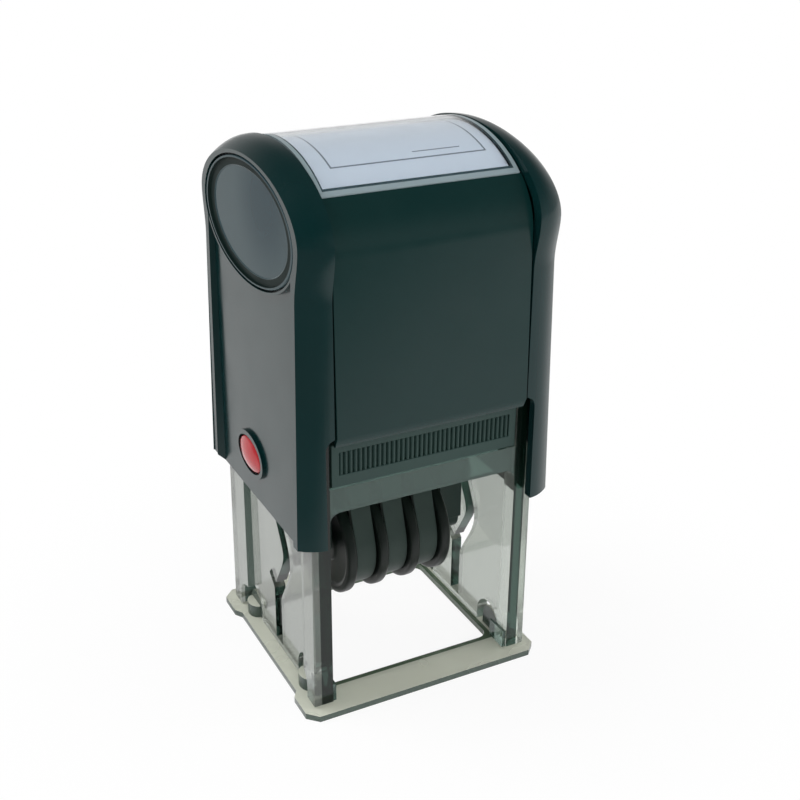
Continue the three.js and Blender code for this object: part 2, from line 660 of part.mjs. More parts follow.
function pressYoke() {
  const Y = YOKE;
  const arm = alongX([
    [0, PIVOT_Z - Y.neckHalf], [Y.armY1, PIVOT_Z - Y.neckHalf], [Y.armY1, Y.bridgeZ1],
    [Y.armY0, Y.bridgeZ1], [Y.armY0, PIVOT_Z + Y.neckHalf], [0, PIVOT_Z + Y.neckHalf],
  ], Y.armX0, Y.armX1);
  const boss = cylinderX(Y.bossR, Y.armX0, Y.armX1, 0, PIVOT_Z, ROUND);
  const bore = cylinderX(Y.holeR, Y.armX0 - FIT, Y.armX1 + FIT, 0, PIVOT_Z, ROUND);
  const bridge = box(-Y.armX1, Y.armX1, Y.armY0, Y.armY1, Y.bridgeZ0, Y.bridgeZ1);
  const holes = bothSides(cylinderZ(SCREW.holeR, Y.bridgeZ0 - FIT, Y.bridgeZ1 + FIT, Y.screwX, Y.screwY));
  return bothSides(arm.add(boss).subtract(bore)).add(bridge).subtract(holes);
}

function yokeScrew(sign) {
  const shank = cylinderZ(SCREW.shankR, YOKE.bridgeZ0 - 2 * FIT, SCREW.top, sign * YOKE.screwX, YOKE.screwY);
  const head = cylinderZ(SCREW.headR, SCREW.headZ0, YOKE.bridgeZ0 - FIT, sign * YOKE.screwX, YOKE.screwY);
  return shank.add(head);
}

// A real coil: one five-sided wire swept along a helix, eight steps to a turn
function returnSpring(sign) {
  const S = SPRING;
  const steps = S.turns * 8;
  const rise = (S.z1 - S.z0 - S.wire) / steps;
  const rings = Array.from({ length: steps + 1 }, (_, i) => {
    const turn = (2 * Math.PI * i) / 8;
    const centre = new THREE.Vector3(
      sign * S.x + S.radius * Math.cos(turn), S.y + S.radius * Math.sin(turn), S.z0 + S.wire / 2 + rise * i,
    );
    const out = new THREE.Vector3(Math.cos(turn), Math.sin(turn), 0);
    const up = new THREE.Vector3(0, 0, 1);
    return Array.from({ length: 5 }, (_, k) => {
      const t = (2 * Math.PI * k) / 5;
      return centre.clone()
        .addScaledVector(out, (S.wire / 2) * Math.cos(t)).addScaledVector(up, (S.wire / 2) * Math.sin(t));
    });
  });
  const positions = rings.flat().flatMap((p) => [p.x, p.y, p.z]);
  const index = [];
  for (let i = 0; i < steps; i += 1) {
    for (let k = 0; k < 5; k += 1) {
      const [a, b] = [5 * i + k, 5 * i + ((k + 1) % 5)];
      index.push(a, a + 5, b, b, a + 5, b + 5);
    }
  }
  for (let k = 1; k < 4; k += 1) {
    index.push(0, k, k + 1);
    index.push(5 * steps, 5 * steps + k + 1, 5 * steps + k);
  }
  const geometry = new THREE.BufferGeometry();
  geometry.setAttribute("position", new THREE.Float32BufferAttribute(positions, 3));
  geometry.setIndex(index);
  return toSolid(geometry);
}

// Printing unit

function cradle() {
  const C = CRADLE;
  const cheek = box(C.cheekX0, C.cheekX1, -C.halfY, C.halfY, C.bottom, C.plateZ1);
  const drop = box(
    C.axleEndX0, C.cheekX1, WHEEL.y - C.axleEndR, WHEEL.y + C.axleEndR, WHEEL.z, C.bottom + FIT,
  );
  const round = cylinderX(C.axleEndR, C.axleEndX0, C.cheekX1, WHEEL.y, WHEEL.z, ROUND);
  const stub = cylinderX(STUB_R, C.cheekX1 - FIT, YOKE.armX1, 0, PIVOT_Z, ROUND);
  const pin = cylinderX(PIN_R, C.cheekX1 - FIT, FRAME.plateX - FIT, 0, PIVOT_Z - PIN_ARM, ROUND);
  const bore = cylinderX(WHEEL.boreR, C.cheekX0 - FIT, C.cheekX1 + FIT, WHEEL.y, WHEEL.z);
  const side = union([cheek, drop, round, stub, pin]).subtract(bore);
  const plate = box(-C.cheekX1, C.cheekX1, -C.plateY, C.plateY, C.plateZ0, C.plateZ1);
  const window = box(-C.windowX, C.windowX, -C.windowY, C.windowY, C.plateZ0 - FIT, C.plateZ1 + FIT);
  return bothSides(side).add(plate).subtract(window);
}

function plateWithWindow(halfX, z0, z1) {
  return box(-halfX, halfX, -CRADLE.plateY, CRADLE.plateY, z0, z1).subtract(
    box(-TEXT.windowX, TEXT.windowX, -TEXT.windowY, TEXT.windowY, z0 - FIT, z1 + FIT),
  );
}

function textDie() {
  const T = TEXT;
  const low = T.dieZ1 - FIT;
  const [x, y] = [T.dieX - T.borderInset, CRADLE.plateY - T.borderInset];
  const lineX = T.dieX - T.lineInset;
  const frame = box(-x, x, -y, y, low, T.faceZ).subtract(box(
    -x + T.borderWidth, x - T.borderWidth, -y + T.borderWidth, y - T.borderWidth, low - FIT, T.faceZ + FIT,
  ));
  const lines = T.lineYShares.flatMap((share) => [share, -share]).map((share) => box(
    -lineX, lineX, share * CRADLE.plateY - T.lineHalf, share * CRADLE.plateY + T.lineHalf, low, T.faceZ,
  ));
  return union([plateWithWindow(T.dieX, T.dieZ0, T.dieZ1), frame, ...lines]);
}

function bandBridge() {
  const B = BRIDGE;
  return alongY([
    [-B.halfX, B.z0], [B.halfX, B.z0], [B.halfX, B.shoulder], [B.topX, B.shoulder],
    [B.topX, B.z1], [-B.topX, B.z1], [-B.topX, B.shoulder], [-B.halfX, B.shoulder],
  ], -B.halfY, B.halfY);
}

function wheelX(place) {
  return (place - 1.5) * WHEEL.pitch;
}

function rim(place) {
  const { y, z, rimR, rimWidth, chamfer } = WHEEL;
  const centre = wheelX(place);
  return alongX(
    ellipse(y, z, rimR, rimR, 2 * SMALL),
    centre - rimWidth / 2 + chamfer, centre + rimWidth / 2 - chamfer,
    {
      bevelEnabled: true, bevelSize: chamfer, bevelThickness: chamfer, bevelOffset: -chamfer,
      bevelSegments: 1,
    },
  );
}

function settingWheel(place) {
  const { y, z, rimWidth, hubR, boreR, pitch, chamfer } = WHEEL;
  const last = place === 2;
  const x0 = wheelX(place) + rimWidth / 2 - chamfer;
  const x1 = wheelX(place) + pitch - rimWidth / 2 + (last ? chamfer : -FIT);
  const hub = cylinderX(hubR, x0, x1, y, z, ROUND);
  const bore = cylinderX(boreR, x0 - pitch, x1 + pitch, y, z);
  const solid = last ? union([rim(place), hub, rim(place + 1)]) : rim(place).add(hub);
  return solid.subtract(bore);
}

// Outline of a belt around the wheel hub and the narrow bridge at the printing face
function beltOutline(inset) {
  const [r0, r1] = [BAND.outerR - inset, BAND.topR - inset];
  const [dy, dz] = [BAND.topY - WHEEL.y, BAND.topZ - WHEEL.z];
  const heading = Math.atan2(dz, dy);
  const open = Math.acos((r0 - r1) / Math.hypot(dy, dz));
  return [
    ...ellipse(BAND.topY, BAND.topZ, r1, r1, 10, heading - open, heading + open),
    ...ellipse(WHEEL.y, WHEEL.z, r0, r0, 24, heading + open, heading - open + 2 * Math.PI),
  ];
}

function dateBand(place) {
  const x0 = wheelX(place) + WHEEL.rimWidth / 2 + WHEEL.bandGap;
  const x1 = wheelX(place + 1) - WHEEL.rimWidth / 2 - WHEEL.bandGap;
  return alongX(beltOutline(0), x0, x1).subtract(alongX(beltOutline(BAND.thick), x0 - FIT, x1 + FIT));
}

// Pad

function padCartridge() {
  const P = PAD;
  const pitch = (2 * P.ribHalfX) / RIBS;
  const comb = [[P.frontX, P.frontY1], [-P.frontX, P.frontY1], [-P.frontX, P.frontY]];
  for (let i = 0; i < RIBS; i += 1) {
    const x = -P.ribHalfX + pitch * (i + (1 - P.ribFillShare) / 2);
    comb.push(
      [x, P.frontY + (i ? P.ribDeep : 0)], [x, P.frontY],
      [x + pitch * P.ribFillShare, P.frontY],
      [x + pitch * P.ribFillShare, P.frontY + (i < RIBS - 1 ? P.ribDeep : 0)],
    );
  }
  comb.push([P.frontX, P.frontY]);
  const clean = comb.filter(([x, y], i) => {
    const before = comb[(i + comb.length - 1) % comb.length];
    return Math.hypot(x - before[0], y - before[1]) > 1e-6;
  });
  const back = box(-P.frontX, P.frontX, P.frontY + P.ribDeep, P.frontY1, P.frontZ0, P.top);
  const bands = [[P.frontZ0, P.ribZ0], [P.ribZ1, P.top]].map(
    ([z0, z1]) => box(-P.frontX, P.frontX, P.frontY, P.frontY1, z0, z1),
  );
  const front = union([alongZ(clean, P.ribZ0, P.ribZ1), back, ...bands]);
  const body = box(-P.bodyX, P.bodyX, P.frontY1 - FIT, P.bodyY1, P.bodyZ0, P.top).subtract(
    box(-P.pocketX, P.pocketX, -P.pocketY, P.pocketY, P.bodyZ0 - FIT, P.pocketZ),
  );
  const tongue = box(P.bodyX - FIT, P.tongueX, P.frontY1 + FIT, P.tongueY1, P.tongueZ0, P.tongueZ1);
  return union([front, body, bothSides(tongue)]);
}

const finishes = {
  housing_plastic: ["#28332f", 0.35],
  disc_plastic: ["#566064", 0.2],
  frame_smoke: ["#a9b0a8", 0.25],
  foot_clear: ["#b0b0a6", 0.25],
  pad_holder_plastic: ["#34413f", 0.5],
  pad_felt: ["#1c1e22", 0.95],
  unit_plastic: ["#303c38", 0.5],
  wheel_plastic: ["#24302d", 0.4],
  band_rubber: ["#35403c", 0.7],
  die_rubber: ["#57524c", 0.8],
  steel: ["#b4b7ba", 0.3],
  button_red: ["#b8474b", 0.25],
  label_paper: ["#c5d0dc", 0.8],
  window_clear: ["#dfe5ea", 0.1],
};

const materials = Object.fromEntries(Object.entries(finishes).map(([name, [color, roughness]]) => [
  name, new THREE.MeshStandardMaterial({ name, color, roughness }),
]));

const part = new THREE.Group();
part.name = "self_inking_date_stamp";

function place(name, finish, solid) {
  const geometry = toGeometry(solid);
  geometry.computeVertexNormals();
  const mesh = new THREE.Mesh(geometry, materials[finish]);
  mesh.name = name;
  part.add(mesh);
}

const cover = rightCover();
const disc = endDisc();
const button = lockButton();

place("lower_frame", "frame_smoke", lowerFrame());
place("foot_plate", "foot_clear", footPlate());
place("return_spring_left", "steel", returnSpring(-1));
place("return_spring_right", "steel", returnSpring(1));
place("housing_barrel", "housing_plastic", housingBarrel());
place("right_side_cover", "housing_plastic", cover);
place("left_side_cover", "housing_plastic", mirroredX(cover));
place("right_end_disc", "disc_plastic", disc);
place("left_end_disc", "disc_plastic", mirroredX(disc));
place("label_card", "label_paper", archedSheet(LABEL.cardLow, LABEL.cardHigh, LABEL.cardX, LABEL.cardY));
place(
  "label_window", "window_clear",
  archedSheet(LABEL.windowThick, 0, LABEL.windowX, LABEL.windowY),
);
place("press_yoke", "unit_plastic", pressYoke());
place("yoke_screw_left", "steel", yokeScrew(-1));
place("yoke_screw_right", "steel", yokeScrew(1));
place("cradle", "unit_plastic", cradle());
place("text_plate", "unit_plastic", plateWithWindow(TEXT.plateX, TEXT.plateZ0, TEXT.plateZ1));
place("text_die", "die_rubber", textDie());
place("band_bridge", "unit_plastic", bandBridge());
place("wheel_axle", "steel", cylinderX(AXLE.r, -AXLE.halfX, AXLE.halfX, WHEEL.y, WHEEL.z));
for (let i = 0; i < 3; i += 1) {
  place(`date_band_${i + 1}`, "band_rubber", dateBand(i));
  place(`setting_wheel_${i + 1}`, "wheel_plastic", settingWheel(i));
}
place("pad_cartridge", "pad_holder_plastic", padCartridge());
place("ink_pad", "pad_felt", box(-PAD.padX, PAD.padX, -PAD.padY, PAD.padY, PAD.padZ0, PAD.padZ1));
place("lock_button_right", "button_red", button);
place("lock_button_left", "button_red", mirroredX(button));

const springGap = (SPRING.z1 - SPRING.z0 - SPRING.wire) / SPRING.turns - SPRING.wire;
console.error(`least gap between spring coils ${springGap.toFixed(2)} mm`);

export default part;
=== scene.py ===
"""Looks of a self-inking date stamp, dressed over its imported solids.

Lengths in this script are metres in the solids' own frame: +Z up along the stroke, the front toward -Y,
and the underside of the foot plate at zero. Sizes that are written in millimetres pass through mm().
"""

import logging
import math
from collections.abc import Iterator, Sequence
from contextlib import contextmanager
from dataclasses import dataclass, field, replace
from enum import Enum

import bmesh
import bpy
import numpy as np
from mathutils import Matrix, Vector

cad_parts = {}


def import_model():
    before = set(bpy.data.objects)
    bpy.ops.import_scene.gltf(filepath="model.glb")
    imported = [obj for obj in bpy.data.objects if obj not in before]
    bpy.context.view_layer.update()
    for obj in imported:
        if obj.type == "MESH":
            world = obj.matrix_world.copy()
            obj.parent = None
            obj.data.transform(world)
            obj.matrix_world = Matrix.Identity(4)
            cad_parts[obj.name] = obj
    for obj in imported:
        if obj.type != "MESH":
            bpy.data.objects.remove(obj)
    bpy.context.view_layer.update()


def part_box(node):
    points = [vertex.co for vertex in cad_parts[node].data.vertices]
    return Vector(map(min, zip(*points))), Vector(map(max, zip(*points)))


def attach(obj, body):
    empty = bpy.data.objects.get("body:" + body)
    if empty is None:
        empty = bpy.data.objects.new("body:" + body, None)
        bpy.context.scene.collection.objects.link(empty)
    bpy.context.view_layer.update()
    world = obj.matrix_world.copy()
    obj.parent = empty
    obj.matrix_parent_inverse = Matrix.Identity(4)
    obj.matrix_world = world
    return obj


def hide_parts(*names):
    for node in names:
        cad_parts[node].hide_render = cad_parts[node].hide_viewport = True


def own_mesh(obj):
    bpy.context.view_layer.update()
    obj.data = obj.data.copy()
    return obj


logging.basicConfig(level=logging.INFO, format="%(message)s")
log = logging.getLogger("date_stamp")

Point = tuple[float, float, float]
Profile = list[tuple[float, float]]
Rectangle = tuple[float, float, float, float]
Node = bpy.types.Node
Object = bpy.types.Object
Socket = bpy.types.NodeSocket
Tree = bpy.types.NodeTree
Inputs = dict[str | int, object]

SIDES = (("left", -1), ("right", 1))
SHEET_MAP = "sheet"
WHITE = (1.0, 1.0, 1.0, 1.0)
# A polished face is duller here and glossier there, by these shares of its roughness
GLOSSIEST, DULLEST = 0.6, 1.5
# Nearly all values of a noise lie between these
NOISE_SPAN = (0.3, 0.7)


class Body(Enum):
    """The moving bodies of the stamp."""

    FRAME = "frame"
    HOUSING = "housing"
    UNIT = "unit"
    WHEEL_1 = "wheel_1"
    WHEEL_2 = "wheel_2"
    WHEEL_3 = "wheel_3"
    PAD = "pad"
    LOCK_LEFT = "lock_left"
    LOCK_RIGHT = "lock_right"


class Slot(Enum):
    """The record's material slots."""

    HOUSING = "housing_plastic"
    DISC = "disc_plastic"
    FRAME = "frame_smoke"
    FOOT = "foot_clear"
    PAD_HOLDER = "pad_holder_plastic"
    FELT = "pad_felt"
    UNIT = "unit_plastic"
    WHEEL = "wheel_plastic"
    BAND = "band_rubber"
    DIE = "die_rubber"
    STEEL = "steel"
    BUTTON = "button_red"
    LABEL = "label_paper"
    WINDOW = "window_clear"


def mm(length: float) -> float:
    """Millimetres as metres."""
    return length * 0.001


def linear(colour: str) -> tuple[float, float, float, float]:
    """Turn an sRGB hex colour to a linear one.

    Args:
        colour: Six hex digits after a hash sign.

    Returns:
        Red, green, blue and a full alpha.
    """
    values = [int(colour[i : i + 2], 16) / 255 for i in (1, 3, 5)]
    red, green, blue = (v / 12.92 if v <= 0.04045 else ((v + 0.055) / 1.055) ** 2.4 for v in values)
    return red, green, blue, 1.0


def fill(node: Node, inputs: Inputs) -> None:
    """Set or link a node's inputs.

    Args:
        node: The node.
        inputs: Values or output sockets by input name or number.
    """
    for key, value in inputs.items():
        if isinstance(value, Socket):
            node.id_data.links.new(value, node.inputs[key])
        else:
            node.inputs[key].default_value = value


def add_node(
    tree: Tree, kind: str, settings: dict[str, object] | None = None, inputs: Inputs | None = None,
) -> Node:
    """Add a node, set its properties, and set or link its inputs.

    Args:
        tree: The tree that the node goes into.
        kind: The node's type.
        settings: Properties of the node.
        inputs: Values or output sockets by input name or number.

    Returns:
        The new node.
    """
    node = tree.nodes.new(kind)
    for name, value in (settings or {}).items():
        setattr(node, name, value)
    fill(node, inputs or {})
    return node


# Finishes


@dataclass(frozen=True)
class Graph:
    """A shader tree, with the steps that its looks are made of."""

    tree: Tree

    def node(self, kind: str, inputs: Inputs | None = None, **settings: object) -> Node:
        """Add a shader node."""
        return add_node(self.tree, f"ShaderNode{kind}", settings, inputs)

    def math(self, operation: str, a: object, b: object = 0.0) -> Socket:
        """Take one arithmetic step."""
        return self.node("Math", {0: a, 1: b}, operation=operation).outputs[0]

    def vector(self, operation: str, a: object, b: object = (0.0, 0.0, 0.0)) -> Socket:
        """Take one step from two vectors to a number."""
        return self.node("VectorMath", {0: a, 1: b}, operation=operation).outputs["Value"]

    def within(self, value: Socket, low: float, high: float) -> Socket:
        """One between two values, else zero."""
        above, below = self.math("GREATER_THAN", value, low), self.math("LESS_THAN", value, high)
        return self.math("MULTIPLY", above, below)

    def parts(self, vector: Socket) -> list[Socket]:
        """Split a vector to X, Y and Z."""
        return list(self.node("SeparateXYZ", {"Vector": vector}).outputs)

    def eased(
        self, value: Socket, start: float, end: float, low: float, high: float, kind: str = "SMOOTHSTEP",
    ) -> Socket:
        """Map start to low and end to high, with a soft step between them unless kind says otherwise."""
        ends = {"From Min": start, "From Max": end, "To Min": low, "To Max": high}
        return self.node("MapRange", {"Value": value, **ends}, interpolation_type=kind).outputs["Result"]

    def blended(self, share: Socket, *tones: object) -> Socket:
        """Mix two colours, each in hex digits or from a socket."""
        first, second = (linear(tone) if isinstance(tone, str) else tone for tone in tones)
        return self.node("Mix", {0: share, 6: first, 7: second}, data_type="RGBA").outputs[2]

    def between(self, share: Socket, first: object, second: object) -> Socket:
        """Mix two numbers."""
        return self.node("Mix", {0: share, 2: first, 3: second}, data_type="FLOAT").outputs[0]


@dataclass(frozen=True)
class Look(Graph):
    """A material in the making: its surface shader, and the object's coordinates in metres."""

    shader: Node
    place: Socket

    def put(self, name: str, value: object) -> None:
        """Set or link one input of the shader."""
        fill(self.shader, {name: value})

    def tinted(self, share: Socket, tone: str) -> None:
        """Turn the colour to another tone where share is one."""
        plain = self.shader.inputs["Base Color"].links[0].from_socket
        self.put("Base Color", self.blended(share, plain, tone))

    def outside(self, place: Socket, edges: Rectangle) -> Socket:
        """Tell how far a point lies outside a rectangle.

        Args:
            place: The point's place, with across and along first.
            edges: The least place, then the greatest, both ways.

        Returns:
            The distance, less than zero inside.
        """
        ways = []
        for value, low, high in zip(self.parts(place), edges[:2], edges[2:]):
            away = self.math("ABSOLUTE", self.math("SUBTRACT", value, (low + high) / 2))
            ways.append(self.math("SUBTRACT", away, (high - low) / 2))
        return self.math("MAXIMUM", *ways)

    def noise(self, size: float, detail: float = 2.0, roughness: float = 0.5) -> Socket:
        """Noise with patches of a given size."""
        inputs = {"Vector": self.place, "Scale": 1 / size, "Detail": detail, "Roughness": roughness}
        return self.node("TexNoise", inputs).outputs["Fac"]

    def cloudy_colour(self, low: str, high: str, size: float) -> None:
        """Let the colour drift between two shades over a patch size."""
        self.put("Base Color", self.blended(self.noise(size, detail=3.0, roughness=0.55), low, high))

    def uneven_gloss(self, low: float, high: float, size: float) -> None:
        """Let the roughness drift between two values, as handling and moulding leave it."""
        self.put("Roughness", self.eased(self.noise(size), *NOISE_SPAN, low, high, "LINEAR"))

    def grained(self, grain: float, depth: float) -> None:
        """Give the surface a relief with grains of a given size and depth."""
        bump = self.node("Bump", {"Strength": 1.0, "Distance": depth, "Height": self.noise(grain)})
        self.put("Normal", bump.outputs["Normal"])


def open_material(name: str, colour: str, roughness: float) -> tuple[bpy.types.Material, Look]:
    """Make a material of a plain colour and open its tree.

    Args:
        name: The material's name.
        colour: Its colour, in hex digits.
        roughness: Its roughness.

    Returns:
        The material, and what dresses it further.
    """
    material = bpy.data.materials.new(name)
    material.use_nodes = True
    material.diffuse_color = linear(colour)
    tree = material.node_tree
    look = Look(tree, tree.nodes["Principled BSDF"], add_node(tree, "ShaderNodeTexCoord").outputs["Object"])
    look.put("Base Color", linear(colour))
    look.put("Roughness", roughness)
    return material, look


@dataclass(frozen=True)
class Finish:
    """A surface finish, whose material is made once and shared."""

    name: str
    slot: Slot
    colour: str
    roughness: float

    def material(self) -> bpy.types.Material:
        """Give the finish's material, made and dressed on first use.

        Returns:
            The material.
        """
        material = bpy.data.materials.get(self.name)
        if material is None:
            material, look = open_material(self.name, self.colour, self.roughness)
            self.dress(look)
        return material

    def dress(self, look: Look) -> None:
        """Add what the finish has beyond a colour."""
        raise NotImplementedError


@dataclass(frozen=True)
class Even(Finish):
    """A finish that is the same all over: a drift of colour, an uneven gloss, and a fine relief."""

    shade: str = ""
    drift: float = mm(14)
    patch: float = mm(7)
    grain: float = mm(0.35)
    depth: float = mm(0.002)
    gloss_range: float = 0.05
    specular: float = 0.5
    metallic: float = 0.0
    sheen: float = 0.0
    polish: float = 0.0

    def dress(self, look: Look) -> None:
        """Drift the colour and the gloss, and add the relief.

        Args:
            look: The material in the making.
        """
        fill(look.shader, {"Metallic": self.metallic, "Sheen Weight": self.sheen, "Coat Weight": self.polish})
        look.put("Specular IOR Level", self.specular)
        if self.shade:
            look.cloudy_colour(self.shade, self.colour, self.drift)
        look.uneven_gloss(self.roughness - self.gloss_range, self.roughness + self.gloss_range, self.patch)
        look.grained(self.grain, self.depth)


@dataclass(frozen=True)
class PaintedShadePlastic(Even):
    """Thick smoked plastic, with a soft patch of painted shade that stands in for a dark reflection on its
    face.
    """

    painted_shade: str = "#000000"
    painted_shade_at: Point = (0.0, 0.0, 0.0)
    painted_shade_from: float = mm(3)
    painted_shade_to: float = mm(15)

    def dress(self, look: Look) -> None:
        """Paint shade into the plastic's own colour around the patch's middle, the same on both ends.

        Args:
            look: The material in the making.
        """
        super().dress(look)
        _, y, z = look.parts(look.place)
        flat = look.node("CombineXYZ", {"Y": y, "Z": z}).outputs[0]
        away = look.vector("DISTANCE", flat, self.painted_shade_at)
        look.tinted(look.eased(away, self.painted_shade_from, self.painted_shade_to, 1.0, 0.0), self.painted_shade)


class LongWay(Enum):
    """The axis that a clear moulding is long in, and how dark its faces look along it and across."""

    TO_THE_BACK = ((0.0, 1.0, 0.0), (0.0, 1.0))
    IN_THE_PLATE = ((0.0, 0.0, 1.0), (1.0, 0.0))


@dataclass(frozen=True)
class ClearPlastic(Finish):
    """Clear moulded plastic: broad faces let light through, and faces that look into its length are dark."""

    deep: str = "#46524d"
    through: float = 0.7
    ior: float = 1.5
    specular: float = 0.5
    flow: float = mm(9)
    ripple: float = mm(3)
    ripple_depth: float = mm(0.004)
    way: LongWay = LongWay.TO_THE_BACK
    turn_from: float = 0.45
    turn_to: float = 0.8
    wall_from: float = 0.0
    wall_to: float = 1.0
    short_from: float = 0.0
    short_to: float = 0.0
    # Painted shade on the left wall and painted light on the right rib, as scales of the colour
    left_painted_shade: float = 1.0
    clear: float = 1.0
    beam: str = "#ffffff"

    def dress(self, look: Look) -> None:
        """Let light through, darken the long way, and add faint flow waves.

        Args:
            look: The material in the making.
        """
        look.put("Transmission Weight", self.through)
        look.put("IOR", self.ior)
        look.put("Specular IOR Level", self.specular)
        x, y, _ = look.parts(look.place)
        side, depth = look.math("ABSOLUTE", x), look.math("ABSOLUTE", y)
        # Much plastic lies behind a face between the walls and in them, but not beside a rib or a niche
        beside = look.within(depth, self.short_from, self.short_to)
        wall = look.within(side, self.wall_from, self.wall_to)
        wall = look.math("MULTIPLY", wall, look.math("SUBTRACT", 1.0, beside))
        middle = look.math("LESS_THAN", side, self.wall_from)
        axis, ends = self.way.value
        facing = look.vector("DOT_PRODUCT", look.node("NewGeometry").outputs["True Normal"], axis)
        share = look.eased(look.math("ABSOLUTE", facing), self.turn_from, self.turn_to, *ends, "LINEAR")
        long_way = look.math("MULTIPLY", share, look.math("ADD", wall, middle))
        tone = look.blended(middle, look.blended(long_way, self.colour, self.deep), self.beam)
        # Painted shade darkens the left wall, and painted light brightens the right rib
        left = look.math("MULTIPLY", look.math("LESS_THAN", x, -self.wall_from), self.left_painted_shade - 1)
        right = look.math("MULTIPLY", look.math("GREATER_THAN", x, self.wall_to), self.clear - 1)
        level = look.math("ADD", look.math("ADD", left, right), 1.0)
        shaded = look.node("VectorMath", {0: tone, "Scale": level}, operation="SCALE")
        look.put("Base Color", shaded.outputs[0])
        look.uneven_gloss(self.roughness * GLOSSIEST, self.roughness * DULLEST, self.flow)
        look.grained(self.ripple, self.ripple_depth)


@dataclass(frozen=True)
class OpenPlate(ClearPlastic):
    """A clear plate, where the lip of its opening gathers the plastic's own green."""

    lip: str = "#5d6f5b"
    opening: Rectangle = (mm(-17.4), mm(-14.8), mm(17.4), mm(14.8))
    lip_wide: float = mm(1.1)
    lip_soft: float = 0.8

    def dress(self, look: Look) -> None:
        """Tint the band around the opening.

        Args:
            look: The material in the making.
        """
        super().dress(look)
        beyond = look.outside(look.place, self.opening)
        look.tinted(look.eased(beyond, self.lip_wide * self.lip_soft, self.lip_wide, 1.0, 0.0), self.lip)


@dataclass(frozen=True)
class PrintedCard(Finish):
    """Coated paper with a ruled frame and one rule, drawn on the piece's own UV map, in metres."""

    ink: str = "#5d6a78"
    specular: float = 0.3
    frame: Rectangle = (mm(-13.4), mm(5.6), mm(14.6), mm(28.9))
    line: float = mm(0.16)
    rule: Rectangle = (mm(1.8), mm(7.222), mm(10.6), mm(7.478))
    tooth: float = mm(0.5)
    tooth_depth: float = mm(0.004)

    def dress(self, look: Look) -> None:
        """Print the frame and the rule, and add the paper's tooth.

        Args:
            look: The material in the making.
        """
        at = look.node("UVMap", uv_map=SHEET_MAP).outputs["UV"]
        frame = look.math("LESS_THAN", look.math("ABSOLUTE", look.outside(at, self.frame)), self.line)
        ink = look.math("MAXIMUM", frame, look.math("LESS_THAN", look.outside(at, self.rule), 0.0))
        look.put("Base Color", look.blended(ink, self.colour, self.ink))
        look.put("Specular IOR Level", self.specular)
        look.grained(self.tooth, self.tooth_depth)


@dataclass(frozen=True)
class RimmedWindow(Finish):
    """Clear plastic with a frosted rim and a painted card shadow, drawn on its own UV map, in metres."""

    frost: str = "#9aabb0"
    card_shadow_tone: str = "#33464b"
    card: Rectangle = (mm(-16.9), mm(1.4), mm(16.9), mm(35.7))
    line_out: Rectangle = (mm(-17.15), mm(0.9), mm(17.15), mm(36.2))
    rim_solid: float = 0.75
    patch: float = mm(9)

    def dress(self, look: Look) -> None:
        """Let light through the middle, frost the rim, and paint the card edge's shadow inside it.

        Args:
            look: The material in the making.
        """
        at = look.node("UVMap", uv_map=SHEET_MAP).outputs["UV"]
        rim, outer = (
            look.math("GREATER_THAN", look.outside(at, edges), 0.0) for edges in (self.card, self.line_out)
        )
        tone = look.blended(rim, self.colour, self.card_shadow_tone)
        look.put("Base Color", look.blended(outer, tone, self.frost))
        solid = look.math("MULTIPLY", rim, self.rim_solid)
        look.put("Transmission Weight", look.math("SUBTRACT", 1.0, solid))
        look.uneven_gloss(self.roughness * GLOSSIEST, self.roughness * DULLEST, self.patch)


# The pieces' finishes, from the colours that the photograph shows
# Moulded ABS with a fine matt grain: the floor shows in it as a soft grey sheen, the rest is near black
HOUSING_ABS = Even(
    "Moulded ABS, black with a green cast", Slot.HOUSING, "#0e2c2b", 0.22, shade="#0a2726", specular=0.35,
)
# The covers come from a smoother tool, so their roundings carry crisper lights
COVER_ABS = Even(
    "Moulded ABS, side covers", Slot.HOUSING, "#09292a", 0.2, shade="#082424", specular=0.38,
)
# Smoked acrylic lets the eye a little way in, so the disc looks blue-grey, not black; its face has painted
# shade
DISC_ACRYLIC = PaintedShadePlastic(
    "Moulded acrylic, smoked blue-grey", Slot.DISC, "#38494d", 0.1, shade="#334448", drift=mm(20),
    patch=mm(10), grain=mm(2), depth=mm(0.001), gloss_range=0.03, specular=0.08, painted_shade="#153038",
)
# The sunk ring is matt, so it scatters what it mirrors, and its dark colour is painted shade framing the disc
RING_PAINTED_SHADE = Even(
    "Moulded acrylic, matt ring with painted shade", Slot.DISC, "#142422", 0.55, shade="#101f1d", specular=0.1,
)
# A coarser matt tool makes the pad holder look paler and softer than the housing
PAD_ABS = Even(
    "Moulded ABS, pad holder", Slot.PAD_HOLDER, "#2b413c", 0.4, shade="#253735", specular=0.35,
)
# The printing unit is matt too, and in shade: a flat dark green-grey
UNIT_ABS = Even(
    "Moulded ABS, printing unit", Slot.UNIT, "#1f2e2a", 0.42, shade="#1a2824", specular=0.35,
)
# Moulded acetal is waxy: the rims show a broad dim light along their rounding
WHEEL_ACETAL = Even(
    "Moulded acetal, setting wheels", Slot.WHEEL, "#101a16", 0.35, shade="#131715", specular=0.3,
)
# Polished clear styrene: walls let the white floor through with a grey-green tint, cut ends look bottle-green
SMOKED_STYRENE = ClearPlastic(
    "Clear smoked polystyrene", Slot.FRAME, "#cbd1ca", 0.08, deep="#0f241c", through=0.8,
    wall_from=mm(18.2), wall_to=mm(20.55), short_from=mm(8.2), short_to=mm(17.8),
    # Painted shade on the left wall, painted light on the right rib
    left_painted_shade=0.66, clear=1.3, beam="#728d85", specular=0.3,
)
# The foot's plate is of a warmer melt and slightly matt: milky on its flats, dark along its edges
CLEAR_STYRENE = OpenPlate(
    "Clear warm polystyrene", Slot.FOOT, "#e4e7d8", 0.2, deep="#4d5c55", through=0.3,
    way=LongWay.IN_THE_PLATE,
)
# The window is polished: it shows the card plainly, and its bare rim is a pale line around it
WINDOW_STYRENE = RimmedWindow("Clear polystyrene window", Slot.WINDOW, "#f4f8fb", 0.03)
